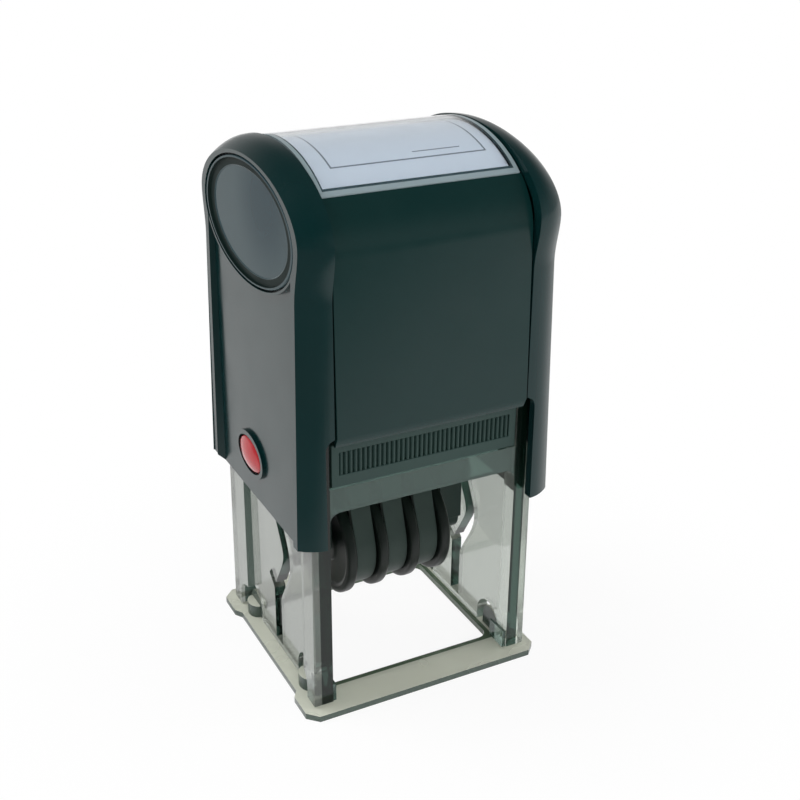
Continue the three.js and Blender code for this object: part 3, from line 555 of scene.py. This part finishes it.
# Moulded rubber is dull, so the bands read as soft dark drums between the glossier rims
# Real pores are under 0.1 mm, so they are drawn three times as coarse to show
BAND_RUBBER = Even(
    "Moulded rubber, date bands", Slot.BAND, "#2b3934", 0.55, shade="#25322e", drift=mm(5), grain=mm(0.3),
    depth=mm(0.01), gloss_range=0.0, specular=0.35, sheen=0.08,
)
# Laser-cut rubber has a burnt, powdery face without any shine
DIE_RUBBER = replace(
    BAND_RUBBER, name="Laser-cut rubber, text die", slot=Slot.DIE, colour="#57524c", shade="#4b4641",
    roughness=0.75,
)
# Inked felt drinks the light: black, with fibres that only just show
PAD_FELT = Even(
    "Pressed felt, inked", Slot.FELT, "#1c1e22", 0.75, shade="#101114", drift=mm(3), patch=mm(4),
    grain=mm(0.4), depth=mm(0.06), gloss_range=0.2,
)
# Drawn steel carries bright lines along the turning marks
STEEL = Even(
    "Drawn and turned steel", Slot.STEEL, "#b4b7ba", 0.3, patch=mm(1.5), grain=mm(0.2), gloss_range=0.08,
    metallic=1.0,
)
# The button's tool is polished: a clear red with a thin glossy film over it
BUTTON_ABS = Even(
    "Polished ABS, red", Slot.BUTTON, "#bb2a2f", 0.12, shade="#9c2028", drift=mm(6),
    patch=mm(3), grain=mm(1.5), depth=mm(0.001), gloss_range=0.03, specular=0.35, polish=0.15,
)
# Coated paper is matt and bluish white, with thin grey print
LABEL_CARD = PrintedCard("Coated paper, printed", Slot.LABEL, "#dbe3ed", 0.6)


# Shapes


def in_scene(name: str, data: bpy.types.ID) -> Object:
    """Put data in the scene as a new object.

    Args:
        name: The object's name.
        data: Its mesh, lamp or camera.

    Returns:
        The object.
    """
    obj = bpy.data.objects.new(name, data)
    bpy.context.scene.collection.objects.link(obj)
    return obj


def mesh_object(
    name: str, points: Sequence[Point], faces: Sequence[Sequence[int]] = (),
    edges: Sequence[tuple[int, int]] = (),
) -> Object:
    """Make an object from points, faces and edges.

    Args:
        name: The object's name.
        points: Its points, in metres.
        faces: Point numbers of each face.
        edges: Point numbers of each edge that has no face.

    Returns:
        The object, in the scene.
    """
    mesh = bpy.data.meshes.new(name)
    mesh.from_pydata([tuple(p) for p in points], list(edges), [tuple(f) for f in faces])
    mesh.validate()
    return in_scene(name, mesh)


def plain_mesh(obj: Object) -> Object:
    """Turn an object's modifiers into its mesh.

    Args:
        obj: The object with its modifiers.

    Returns:
        The same object, with none left.
    """
    bpy.context.view_layer.update()
    graph = bpy.context.evaluated_depsgraph_get()
    evaluated = obj.evaluated_get(graph)
    mesh = bpy.data.meshes.new_from_object(evaluated, preserve_all_data_layers=True, depsgraph=graph)
    obj.modifiers.clear()
    old, obj.data = obj.data, mesh
    mesh.name = obj.name
    bpy.data.meshes.remove(old)
    return obj


@contextmanager
def edited(obj: Object, weld: float = mm(0.002)) -> Iterator[bmesh.types.BMesh]:
    """Open an object's mesh for editing, with its doubled points merged.

    Args:
        obj: The object, whose mesh is its own.
        weld: How far apart two points of one place may be.

    Yields:
        The open mesh, which is written back at the end.
    """
    mesh = bmesh.new()
    mesh.from_mesh(obj.data)
    bmesh.ops.remove_doubles(mesh, verts=mesh.verts, dist=weld)
    yield mesh
    mesh.to_mesh(obj.data)
    mesh.free()


def smooth(obj: Object, angle: float) -> None:
    """Shade an object smooth, with sharp edges where it turns by more than an angle in degrees."""
    obj.data.shade_smooth()
    obj.data.set_sharp_from_angle(angle=math.radians(angle))


def softened(
    obj: Object, width: float, segments: int = 2, angle: float = 40.0, flat: float = 0.6,
    sliver: float = mm(0.004),
) -> Object:
    """Merge a mesh, join its flat faces, and round its sharp edges as a mould does.

    Args:
        obj: The object, whose mesh is its own.
        width: How wide the rounding is.
        segments: Steps across it.
        angle: Edges that turn by less than this stay as they are, in degrees.
        flat: Faces that differ by less than this are joined, in degrees.
        sliver: Edges and faces thinner than this are removed.

    Returns:
        The same object, with the rounding in its mesh.
    """
    with edited(obj) as mesh:
        bmesh.ops.dissolve_limit(
            mesh, angle_limit=math.radians(flat), verts=mesh.verts, edges=mesh.edges, delimit={"NORMAL"},
        )
        bmesh.ops.dissolve_degenerate(mesh, edges=mesh.edges, dist=sliver)
    obj.data.shade_smooth()
    bevel = obj.modifiers.new("rounding", "BEVEL")
    bevel.width = width
    bevel.segments = segments
    bevel.limit_method = "ANGLE"
    bevel.angle_limit = math.radians(angle)
    bevel.harden_normals = True
    obj.modifiers.new("normals", "WEIGHTED_NORMAL").keep_sharp = True
    return plain_mesh(obj)


def copy_of(node: str, ending: str) -> Object:
    """A fresh copy of a solid, with no material and no parent.

    Args:
        node: The solid's name.
        ending: What the copy's name has after it.

    Returns:
        The copy.
    """
    mesh = bpy.data.objects[node].data.copy()
    mesh.materials.clear()
    if "custom_normal" in mesh.attributes:
        mesh.attributes.remove(mesh.attributes["custom_normal"])
    return in_scene(f"{node}_{ending}", mesh)


def finished(obj: Object, finish: Finish, body: Body, node: str) -> Object:
    """Give a piece its finish and body, and let it stand for its solid.

    Args:
        obj: The piece.
        finish: Its finish.
        body: What it rides on.
        node: The solid that it replaces.

    Returns:
        The same piece.
    """
    obj.data.materials.clear()
    obj.data.materials.append(finish.material())
    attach(obj, body.value)
    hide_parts(node)
    log.info("%s: %d faces, on %s, %s", obj.name, len(obj.data.polygons), body.value, finish.name)
    return obj


def moulded_copy(
    node: str, ending: str, finish: Finish, body: Body, width: float = mm(0.2), segments: int = 2,
    angle: float = 40.0,
) -> Object:
    """A rounded copy of a solid that stands for it.

    Args:
        node: The solid.
        ending: What the piece's name has after the solid's.
        finish: Its finish.
        body: What it rides on.
        width: How wide its edges' rounding is.
        segments: Steps across the rounding.
        angle: The least turn that is rounded, in degrees.

    Returns:
        The piece.
    """
    obj = softened(copy_of(node, ending), width, segments, angle)
    return finished(obj, finish, body, node)


# Geometry node trees


class ShapeTree:
    """A geometry node tree with named inputs that ends in real faces with a material."""

    def __init__(self, name: str, sizes: dict[str, float | int]) -> None:
        """Make the tree.

        Args:
            name: The tree's name.
            sizes: The values of its inputs by name.
        """
        self.tree = bpy.data.node_groups.new(name, "GeometryNodeTree")
        sockets = self.tree.interface.new_socket
        sockets("Geometry", in_out="INPUT", socket_type="NodeSocketGeometry")
        for label, value in sizes.items():
            kind = "NodeSocketInt" if isinstance(value, int) else "NodeSocketFloat"
            sockets(label, in_out="INPUT", socket_type=kind).default_value = value
        sockets("Geometry", in_out="OUTPUT", socket_type="NodeSocketGeometry")
        self.start = self.tree.nodes.new("NodeGroupInput")

    def made(self, kind: str, inputs: Inputs) -> Socket:
        """Add a geometry node and give its first output. A string stands for the tree's input of its name."""
        given = {key: self.start.outputs[value] for key, value in inputs.items() if isinstance(value, str)}
        return add_node(self.tree, f"GeometryNode{kind}", inputs=inputs | given).outputs[0]

    def vector(self, *labels: str) -> Socket:
        """Make a vector of named inputs."""
        parts = {i: self.start.outputs[label] for i, label in enumerate(labels)}
        return add_node(self.tree, "ShaderNodeCombineXYZ", inputs=parts).outputs[0]

    def end(self, geometry: Socket, finish: Finish) -> None:
        """End the tree in real faces with a material.

        Args:
            geometry: What the tree has made.
            finish: The finish whose material is set.
        """
        real = self.made("RealizeInstances", {"Geometry": geometry})
        dressed = self.made("SetMaterial", {"Geometry": real, "Material": finish.material()})
        add_node(self.tree, "NodeGroupOutput", inputs={0: dressed})

    def run(self, obj: Object) -> Object:
        """Run the tree on an object and keep the result as its mesh, with closed shells facing out.

        Args:
            obj: The object.

        Returns:
            The same object.
        """
        obj.modifiers.new(self.tree.name, "NODES").node_group = self.tree
        with edited(plain_mesh(obj), mm(0.001)) as mesh:
            bmesh.ops.recalc_face_normals(mesh, faces=mesh.faces)
        return obj


@dataclass
class TurnedShape:
    """A profile of radius and height points, turned round an axis by geometry nodes."""

    profile: Profile
    segments: int = 96
    weld: float = mm(0.001)

    def turned(self, name: str, finish: Finish, place: Matrix, angle: float) -> Object:
        """Turn the profile about Z and put it in place.

        Args:
            name: The new object's name.
            finish: Its finish.
            place: What its points pass through.
            angle: The turn from which an edge is sharp, in degrees.

        Returns:
            The object.
        """
        shape = ShapeTree(f"Turned {name}", {"Segments": self.segments, "Weld": self.weld})
        line = shape.made("MeshToCurve", {0: "Geometry"})
        ring = shape.made("CurvePrimitiveCircle", {"Resolution": "Segments", "Radius": 1.0})
        swept = shape.made("CurveToMesh", {0: ring, "Profile Curve": line})
        shape.end(shape.made("MergeByDistance", {0: swept, "Distance": "Weld"}), finish)
        # The ring has a radius of one, so a radius here is a distance from it
        points = [(radius - 1, height, 0) for radius, height in self.profile]
        obj = shape.run(mesh_object(name, points, edges=[(i, i + 1) for i in range(len(points) - 1)]))
        obj.data.transform(place)
        if place.determinant() < 0:
            obj.data.flip_normals()
        smooth(obj, angle)
        return obj


def rounded_profile(corners: Sequence[Point], steps: int = 4, most: float = 0.49) -> Profile:
    """Round the corners of an open profile.

    Args:
        corners: Radius, height and rounding of each corner. The ends aren't rounded.
        steps: Steps across each rounding.
        most: The largest share of an edge that one rounding takes.

    Returns:
        The profile's points.
    """
    points: Profile = [corners[0][:2]]
    for before, here, after in zip(corners, corners[1:], corners[2:]):
        corner = Vector(here[:2])
        back, ahead = Vector(before[:2]) - corner, Vector(after[:2]) - corner
        reach = min(here[2], back.length * most, ahead.length * most)
        if reach <= 0:
            points.append(tuple(corner))
            continue
        start, end = corner + back.normalized() * reach, corner + ahead.normalized() * reach
        for i in range(steps + 1):
            t = i / steps
            points.append(tuple((1 - t) ** 2 * start + 2 * t * (1 - t) * corner + t * t * end))
    return [*points, corners[-1][:2]]


# Sub-assemblies


@dataclass
class LowerFrame:
    """The clear frame that stands on the paper, its foot plate and the two return springs."""

    edge: float = mm(0.28)
    foot_edge: float = mm(0.4)
    coil_x: float = mm(9)
    coil_y: float = mm(-2)
    coil_radius: float = mm(3.6)
    wire: float = mm(0.7)
    wire_sides: int = 12
    turns: float = 7.0
    steps: int = 36
    sharp: float = 50.0
    squash_keep: float = 0.2126

    def build(self) -> None:
        """Build and dress every piece."""
        moulded_copy("lower_frame", "clear", SMOKED_STYRENE, Body.FRAME, self.edge, segments=3)
        moulded_copy("foot_plate", "clear", CLEAR_STYRENE, Body.FRAME, self.foot_edge, segments=3)
        for side, sign in SIDES:
            self.spring(side, sign)

    def spring(self, side: str, sign: int) -> None:
        """Wind one return spring with closed ends.

        Args:
            side: Which spring.
            sign: Its side of the middle.
        """
        node = f"return_spring_{side}"
        low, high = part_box(node)
        shape = ShapeTree(f"Coil {side}", {
            "Turns": self.turns, "Radius": self.coil_radius, "Height": high.z - low.z - self.wire,
            "Wire radius": self.wire / 2, "Steps a turn": self.steps,
        })
        line = shape.made("CurveSpiral", {
            "Resolution": "Steps a turn", "Rotations": "Turns", "Height": "Height",
            "Start Radius": "Radius", "End Radius": "Radius",
        })
        ring = shape.made("CurvePrimitiveCircle", {"Resolution": self.wire_sides, "Radius": "Wire radius"})
        shape.end(shape.made("CurveToMesh", {0: line, "Profile Curve": ring, "Fill Caps": True}), STEEL)
        obj = shape.run(mesh_object(f"return_spring_wire_{side}", []))
        obj.data.transform(Matrix.Translation((sign * self.coil_x, self.coil_y, low.z + self.wire / 2)))
        smooth(obj, self.sharp)
        finished(obj, STEEL, Body.FRAME, node)
        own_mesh(obj)


@dataclass
class Housing:
    """The barrel, its side covers, end discs, label and the yoke inside."""

    edge: float = mm(0.22)
    fine_edge: float = mm(0.12)
    edge_turn: float = 30.0
    disc_turn: float = 24.0
    # Where the painted shade on each disc's face centres: ahead of and above the disc's middle
    painted_shade_forward: float = mm(6)
    painted_shade_up: float = mm(4.5)
    ring_from: float = 0.822
    face_edge: float = 0.85
    ring_to: float = 0.962
    skin_step: float = mm(0.3)
    skin_depth: float = mm(0.05)

    def build(self) -> None:
        """Build and dress every piece."""
        moulded_copy("housing_barrel", "shell", HOUSING_ABS, Body.HOUSING, self.edge, angle=self.edge_turn)
        for side, _ in SIDES:
            node = f"{side}_side_cover"
            moulded_copy(node, "shell", COVER_ABS, Body.HOUSING, self.edge, angle=self.edge_turn)
            self.disc(f"{side}_end_disc")
            moulded_copy(f"yoke_screw_{side}", "steel", STEEL, Body.HOUSING, self.fine_edge)
        moulded_copy("press_yoke", "frame", UNIT_ABS, Body.HOUSING)
        self.sheet("label_window", "clear", WINDOW_STYRENE)
        self.sheet("label_card", "print", LABEL_CARD)

    def disc(self, node: str) -> None:
        """Fit an end disc: polished lip and face, with painted shade on the face and in the matt sunk ring.

        Args:
            node: The disc's solid.
        """
        low, high = (Vector(corner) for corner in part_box(node))
        middle, half = (low + high) / 2, (high - low) / 2
        # The patch of painted shade lies ahead of and above the disc's middle
        painted_shade_at = (0.0, middle.y - self.painted_shade_forward, middle.z + self.painted_shade_up)
        finish = replace(DISC_ACRYLIC, painted_shade_at=painted_shade_at)
        plate = moulded_copy(node, "plate", finish, Body.HOUSING, self.fine_edge, angle=self.disc_turn)
        # The sunk ring's faces take a second material, dark with painted shade
        plate.data.materials.append(RING_PAINTED_SHADE.material())
        points = (vertex.co - middle for vertex in plate.data.vertices)
        out = [math.hypot(point.y / half.y, point.z / half.z) for point in points]
        for face in plate.data.polygons:
            reach = [out[vertex] for vertex in face.vertices]
            sunk = self.ring_from < min(reach) and self.face_edge < max(reach) < self.ring_to
            face.material_index = int(sunk)

    def sheet(self, node: str, ending: str, finish: Finish) -> None:
        """Lay a sheet along the arch, with a UV map in metres along it.

        Args:
            node: The sheet's solid.
            ending: What the piece's name has after the solid's.
            finish: Its finish.
        """
        obj = copy_of(node, ending)
        with edited(obj) as mesh:
            points = sorted({(round(v.co.y, 6), round(v.co.z, 6)) for v in mesh.verts})
        # Along the upper skin of the arch, from the front edge
        upper = [
            (y, z) for y, z in points
            if z >= max(top for at, top in points if abs(at - y) < self.skin_step) - self.skin_depth
        ]
        lengths = [0.0]
        for a, b in zip(upper, upper[1:]):
            lengths.append(lengths[-1] + math.dist(a, b))
        ys = [y for y, _ in upper]
        layer = obj.data.uv_layers.new(name=SHEET_MAP)
        for loop in obj.data.loops:
            co = obj.data.vertices[loop.vertex_index].co
            layer.data[loop.index].uv = (co.x, float(np.interp(co.y, ys, lengths)))
        smooth(obj, self.edge_turn)
        finished(obj, finish, Body.HOUSING, node)


@dataclass
class PrintingUnit:
    """The cradle with its text die, belts, axle and bridge."""

    edge: float = mm(0.2)
    die_edge: float = mm(0.08)
    axle_edge: float = mm(0.15)
    band_edge: float = mm(0.12)

    def build(self) -> None:
        """Build and dress every piece."""
        for node, ending, finish, edge in (
            ("cradle", "moulding", UNIT_ABS, self.edge), ("text_plate", "moulding", UNIT_ABS, self.edge),
            ("text_die", "rubber", DIE_RUBBER, self.die_edge),
            ("band_bridge", "moulding", UNIT_ABS, self.edge), ("wheel_axle", "pin", STEEL, self.axle_edge),
            *((f"date_band_{i}", "belt", BAND_RUBBER, self.band_edge) for i in (1, 2, 3)),
        ):
            moulded_copy(node, ending, finish, Body.UNIT, edge)


@dataclass
class SettingWheels:
    """The three setting wheels, each turned about the axle."""

    y: float = mm(-1)
    z: float = mm(22.8)
    rim_radius: float = mm(10)
    rim_width: float = mm(2)
    rim_deep: float = mm(1.3)
    rim_round: float = mm(0.75)
    rims: int = 4
    pitch: float = mm(6.47)
    hub_radius: float = mm(7.2)
    hub_round: float = mm(0.15)
    boss_radius: float = mm(3.4)
    web_radius: float = mm(8.1)
    web_sunk: float = mm(0.35)
    bore: float = mm(1.8)
    gap: float = mm(0.3)
    small: float = mm(0.2)
    middling: float = mm(0.3)
    sharp: float = 34.0

    def build(self) -> None:
        """Build and dress every wheel."""
        for place, body in enumerate((Body.WHEEL_1, Body.WHEEL_2, Body.WHEEL_3)):
            self.wheel(place, body)

    def rim(self, at: float) -> list[Point]:
        """Corners of one rim: a dished face, a rounded edge and a dished face again.

        Args:
            at: The rim's middle.

        Returns:
            Radius, height and rounding of each corner.
        """
        low, high, deep = at - self.rim_width / 2, at + self.rim_width / 2, self.rim_radius - self.rim_deep
        return [(deep, low, self.small), (self.rim_radius, low, self.rim_round),
                (self.rim_radius, high, self.rim_round), (deep, high, self.small)]

    def end(self, at: float, inward: int) -> list[Point]:
        """Corners of a wheel's end: a boss round the bore, and a sunk web.

        Args:
            at: The end's height.
            inward: The way to the wheel's middle.

        Returns:
            Radius, height and rounding of each corner, from the bore outwards.
        """
        web = at + inward * self.web_sunk
        return [(self.bore, at, 0.0), (self.boss_radius, at, self.middling),
                (self.boss_radius + self.middling, web, self.small), (self.web_radius, web, self.middling)]

    def wheel(self, place: int, body: Body) -> None:
        """Turn one wheel. The last one has a second rim.

        Args:
            place: Its place from the left.
            body: What it rides on.
        """
        start, half = (place - (self.rims - 1) / 2) * self.pitch, self.rim_width / 2
        after = start + self.pitch
        corners = [*self.end(start - half, 1), *self.rim(start), (self.hub_radius, start + half, 0.0)]
        if body is Body.WHEEL_3:
            corners += [(self.hub_radius, after - half, 0.0), *self.rim(after)]
            corners += reversed(self.end(after + half, -1))
        else:
            end = after - half - self.gap
            corners += [(self.hub_radius, end, self.hub_round), (self.bore, end, 0.0)]
        corners.append(corners[0])
        turn = Matrix(((0, 0, 1, 0), (1, 0, 0, self.y), (0, 1, 0, self.z), (0, 0, 0, 1)))
        node = f"setting_wheel_{place + 1}"
        shape = TurnedShape(rounded_profile(corners))
        finished(shape.turned(f"{node}_turned", WHEEL_ACETAL, turn, self.sharp), WHEEL_ACETAL, body, node)


@dataclass
class PadCartridge:
    """The pull-out pad with its ribbed grip."""

    edge: float = mm(0.14)
    felt_edge: float = mm(0.35)
    front_half: float = mm(17.9)
    ribs: int = 37
    rib_sides: int = 20
    rib_depth: float = mm(0.5)
    rib_share: float = 0.74
    side_band: float = mm(1.4)
    low_band: float = mm(2.2)
    high_band: float = mm(1.6)
    lap: float = mm(0.1)

    def build(self) -> None:
        """Build and dress both pieces."""
        low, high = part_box("pad_cartridge")
        obj = copy_of("pad_cartridge", "moulding")
        grip = self.grip(low, high)
        with edited(obj) as mesh:
            # The solid's own ribs make way for the rounded ones
            bmesh.ops.bisect_plane(
                mesh, geom=mesh.verts[:] + mesh.edges[:] + mesh.faces[:], clear_outer=True,
                plane_co=(0, low.y + self.rib_depth + self.lap, 0), plane_no=(0, -1, 0),
            )
            bmesh.ops.holes_fill(mesh, edges=[edge for edge in mesh.edges if edge.is_boundary])
            mesh.from_mesh(grip.data)
        bpy.data.objects.remove(grip)
        finished(softened(obj, self.edge), PAD_ABS, Body.PAD, "pad_cartridge")
        moulded_copy("ink_pad", "felt", PAD_FELT, Body.PAD, self.felt_edge, segments=3)

    def grip(self, low: Vector, high: Vector) -> Object:
        """Make the front of the grip: a flat border, with rounded ribs inside it by geometry nodes.

        Args:
            low: The cartridge's least corner.
            high: Its greatest corner.

        Returns:
            The front, as a mesh of its own.
        """
        back = low.y + self.rib_depth + 2 * self.lap
        inner_half, z0, z1 = self.front_half - self.side_band, low.z + self.low_band, high.z - self.high_band
        points = [
            (sign * half, y, z)
            for y in (low.y, back)
            for half, bottom, top in ((self.front_half, low.z, high.z), (inner_half, z0, z1))
            for sign, z in ((-1, bottom), (1, bottom), (1, top), (-1, top))
        ]
        # Four points each: outer and inner edge in front, then behind
        faces = []
        for i, j in ((0, 1), (1, 2), (2, 3), (3, 0)):
            faces += [(i, j, 4 + j, 4 + i), (j, i, 8 + i, 8 + j)]
            faces += [(4 + i, 4 + j, 12 + j, 12 + i), (8 + i, 12 + i, 12 + j, 8 + j)]
        pitch = 2 * inner_half / self.ribs
        shape = ShapeTree("Ribbed grip", {
            "Ribs": self.ribs, "Pitch": pitch, "First": -pitch * (self.ribs - 1) / 2,
            "Half width": pitch * self.rib_share / 2, "Depth": self.rib_depth, "Height": z1 - z0 + self.lap,
            "Front": low.y + self.rib_depth, "Middle": (z0 + z1) / 2,
        })
        line = shape.made("MeshLine", {
            "Count": "Ribs", "Offset": shape.vector("Pitch"),
            "Start Location": shape.vector("First", "Front", "Middle"),
        })
        rod = shape.made("MeshCylinder", {"Vertices": self.rib_sides, "Radius": 1.0, "Depth": 1.0})
        ribs = shape.made("InstanceOnPoints", {
            "Points": line, "Instance": rod, "Scale": shape.vector("Half width", "Depth", "Height"),
        })
        both = shape.made("JoinGeometry", {0: "Geometry"})
        shape.tree.links.new(ribs, both.node.inputs[0])
        shape.end(both, PAD_ABS)
        return shape.run(mesh_object("pad_grip_front", points, faces))


@dataclass
class LockButtons:
    """The red buttons that lock the housing down."""

    y: float = mm(3.4)
    z: float = mm(42.3)
    half_y: float = mm(5.2)
    half_z: float = mm(3.1)
    chamfer: float = mm(0.2)
    crown: float = mm(0.9)
    crown_step: float = mm(0.15)
    steps: int = 15
    sharp: float = 50.0

    def build(self) -> None:
        """Build and dress both buttons."""
        for (side, sign), body in zip(SIDES, (Body.LOCK_LEFT, Body.LOCK_RIGHT)):
            node = f"lock_button_{side}"
            inner, outer = sorted(abs(corner.x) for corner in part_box(node))
            shoulder = outer - self.crown
            profile: Profile = [
                (0.0, inner), (self.half_y - self.chamfer, inner), (self.half_y, inner + self.chamfer),
                (self.half_y, shoulder - self.crown_step),
            ]
            for i in range(1, self.steps + 1):
                share = 1 - i / self.steps
                profile.append((self.half_y * share, shoulder + self.crown * (1 - share * share)))
            flat = self.half_z / self.half_y
            place = Matrix(((0, 0, sign, 0), (1, 0, 0, self.y), (0, flat, 0, self.z), (0, 0, 0, 1)))
            obj = TurnedShape(profile).turned(f"{node}_cap", BUTTON_ABS, place, self.sharp)
            finished(obj, BUTTON_ABS, body, node)


# Stage


@dataclass
class Studio:
    """The pale floor, the soft lights and the camera at the photograph's angle."""

    floor_radius: float = 4.0
    floor_sides: int = 64
    floor_drop: float = mm(0.05)
    floor_colour: str = "#fbfbfb"
    floor_roughness: float = 0.9
    shadow_reach: float = 0.1
    shadow_share: float = 0.09
    horizon: float = 0.5
    horizon_to: float = 0.1
    zenith: float = 0.08
    zenith_from: float = 0.75
    dark_way: Point = (-0.75, -0.66, 0.0)
    dark_from: float = 0.04
    dark_to: float = 0.12
    dark_sky: float = 0.15
    dark_sky_from: float = -0.1
    dark_sky_to: float = 0.8
    mirrored_white: float = 0.97
    mirrored_dark: float = 0.16
    ambient: float = 0.4
    aim: Point = (0.0, 0.0, 0.05)
    lamp_size: float = 0.6
    lamps: dict[str, tuple[Point, float]] = field(default_factory=lambda: {
        "key": ((-0.5, 0.3, 0.6), 3.6), "front": ((-0.1, -0.75, 0.3), 3.0), "right": ((0.6, -0.2, 0.4), 1.2),
    })
    camera_at: Point = (mm(-91.17), mm(-184.31), mm(145.84))
    azimuth: float = -27.60
    elevation: float = 25.06
    roll: float = 0.578
    focal_px: float = 1232.3
    image_px: float = 800.0
    sensor_mm: float = 36.0
    near: float = 0.01

    def build(self) -> None:
        """Build the whole stage."""
        self.floor()
        self.world()
        self.lights()
        self.camera()

    def floor(self) -> None:
        """Lay a plain pale floor under the object."""
        turns = (Matrix.Rotation(2 * math.pi * i / self.floor_sides, 4, "Z") for i in range(self.floor_sides))
        ring = [turn @ Vector((self.floor_radius, 0.0, -self.floor_drop)) for turn in turns]
        obj = mesh_object("studio_floor", ring, [range(self.floor_sides)])
        material, look = open_material("Matt white board", self.floor_colour, self.floor_roughness)
        look.put("Specular IOR Level", 0.0)
        self.fade_to_white(look)
        obj.data.materials.append(material)

    def fade_to_white(self, look: Look) -> None:
        """Let the floor turn plain white beyond the object's shadow, for the eye, mirrors and glass.

        Args:
            look: The floor's material in the making.
        """
        path = look.node("LightPath").outputs
        seen = look.math("MAXIMUM", path["Is Camera Ray"], path["Is Transmission Ray"])
        seen = look.math("MAXIMUM", seen, path["Is Glossy Ray"])
        away = look.vector("LENGTH", look.place)
        share = look.eased(away, self.shadow_reach / 3, self.shadow_reach, 1 - self.shadow_share, 1.0)
        # The room behind the camera is dark, and only mirrors see it
        toward = look.vector("DOT_PRODUCT", look.place, self.dark_way)
        mirrored = look.eased(toward, self.dark_from, self.dark_to, self.mirrored_white, self.mirrored_dark)
        level = look.between(path["Is Glossy Ray"], 1.0, mirrored)
        white = look.node("Emission", {"Color": WHITE, "Strength": level}).outputs[0]
        share = look.math("MULTIPLY", share, seen)
        blend = look.node("MixShader", {0: share, 1: look.shader.outputs[0], 2: white}).outputs[0]
        look.tree.links.new(blend, look.tree.nodes["Material Output"].inputs["Surface"])

    def world(self) -> None:
        """A white backdrop that lights the object softly, and is darker overhead in a gloss."""
        world = bpy.data.worlds.new("Studio")
        bpy.context.scene.world = world
        world.use_nodes = True
        world.node_tree.nodes.clear()
        graph = Graph(world.node_tree)
        way = graph.node("TexCoord").outputs["Generated"]
        height = graph.parts(way)[2]
        level = graph.eased(height, self.horizon_to, self.zenith_from, self.horizon, self.zenith)
        toward = graph.vector("DOT_PRODUCT", way, self.dark_way)
        level = graph.math(
            "MULTIPLY", level, graph.eased(toward, self.dark_sky_from, self.dark_sky_to, 1.0, self.dark_sky),
        )
        path = graph.node("LightPath").outputs
        shown = graph.math("MAXIMUM", path["Is Camera Ray"], path["Is Transmission Ray"])
        plain = graph.between(shown, self.ambient, 1.0)
        # A clear cover passes the soft light on, so only rays that bounced off a gloss see the dark overhead
        bounced = graph.math("GREATER_THAN", path["Is Glossy Ray"], path["Is Transmission Ray"])
        strength = graph.between(bounced, plain, level)
        background = graph.node("Background", {"Color": WHITE, "Strength": strength}).outputs[0]
        graph.node("OutputWorld", {"Surface": background})

    def lights(self) -> None:
        """Hang the soft lamps, each aimed at the middle of the object."""
        for name, (place, power) in self.lamps.items():
            lamp = bpy.data.lights.new(f"soft_{name}", "AREA")
            lamp.shape = "DISK"
            lamp.size = self.lamp_size
            lamp.energy = power
            obj = in_scene(f"soft_{name}", lamp)
            turn = (Vector(self.aim) - Vector(place)).to_track_quat("-Z", "Y").to_matrix().to_4x4()
            obj.matrix_world = Matrix.Translation(place) @ turn
            obj.visible_glossy = False

    def camera(self) -> None:
        """Set the camera at the photograph's place, angle and lens."""
        turn = Matrix.Identity(4)
        for angle, axis in ((self.azimuth, "Z"), (90 - self.elevation, "X"), (self.roll, "Z")):
            turn @= Matrix.Rotation(math.radians(angle), 4, axis)
        data = bpy.data.cameras.new("photograph")
        data.sensor_width = self.sensor_mm
        data.lens = self.focal_px / self.image_px * self.sensor_mm
        data.clip_start = self.near
        obj = in_scene("photograph", data)
        obj.matrix_world = Matrix.Translation(self.camera_at) @ turn
        bpy.context.scene.camera = obj


def main() -> None:
    """Build the stamp's sub-assemblies in order."""
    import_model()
    bpy.context.scene.view_settings.view_transform = "Standard"
    for part in (Studio, LowerFrame, Housing, PrintingUnit, SettingWheels, PadCartridge, LockButtons):
        part().build()
        log.info("%s: done", part.__name__)


if __name__ == "__main__":
    main()
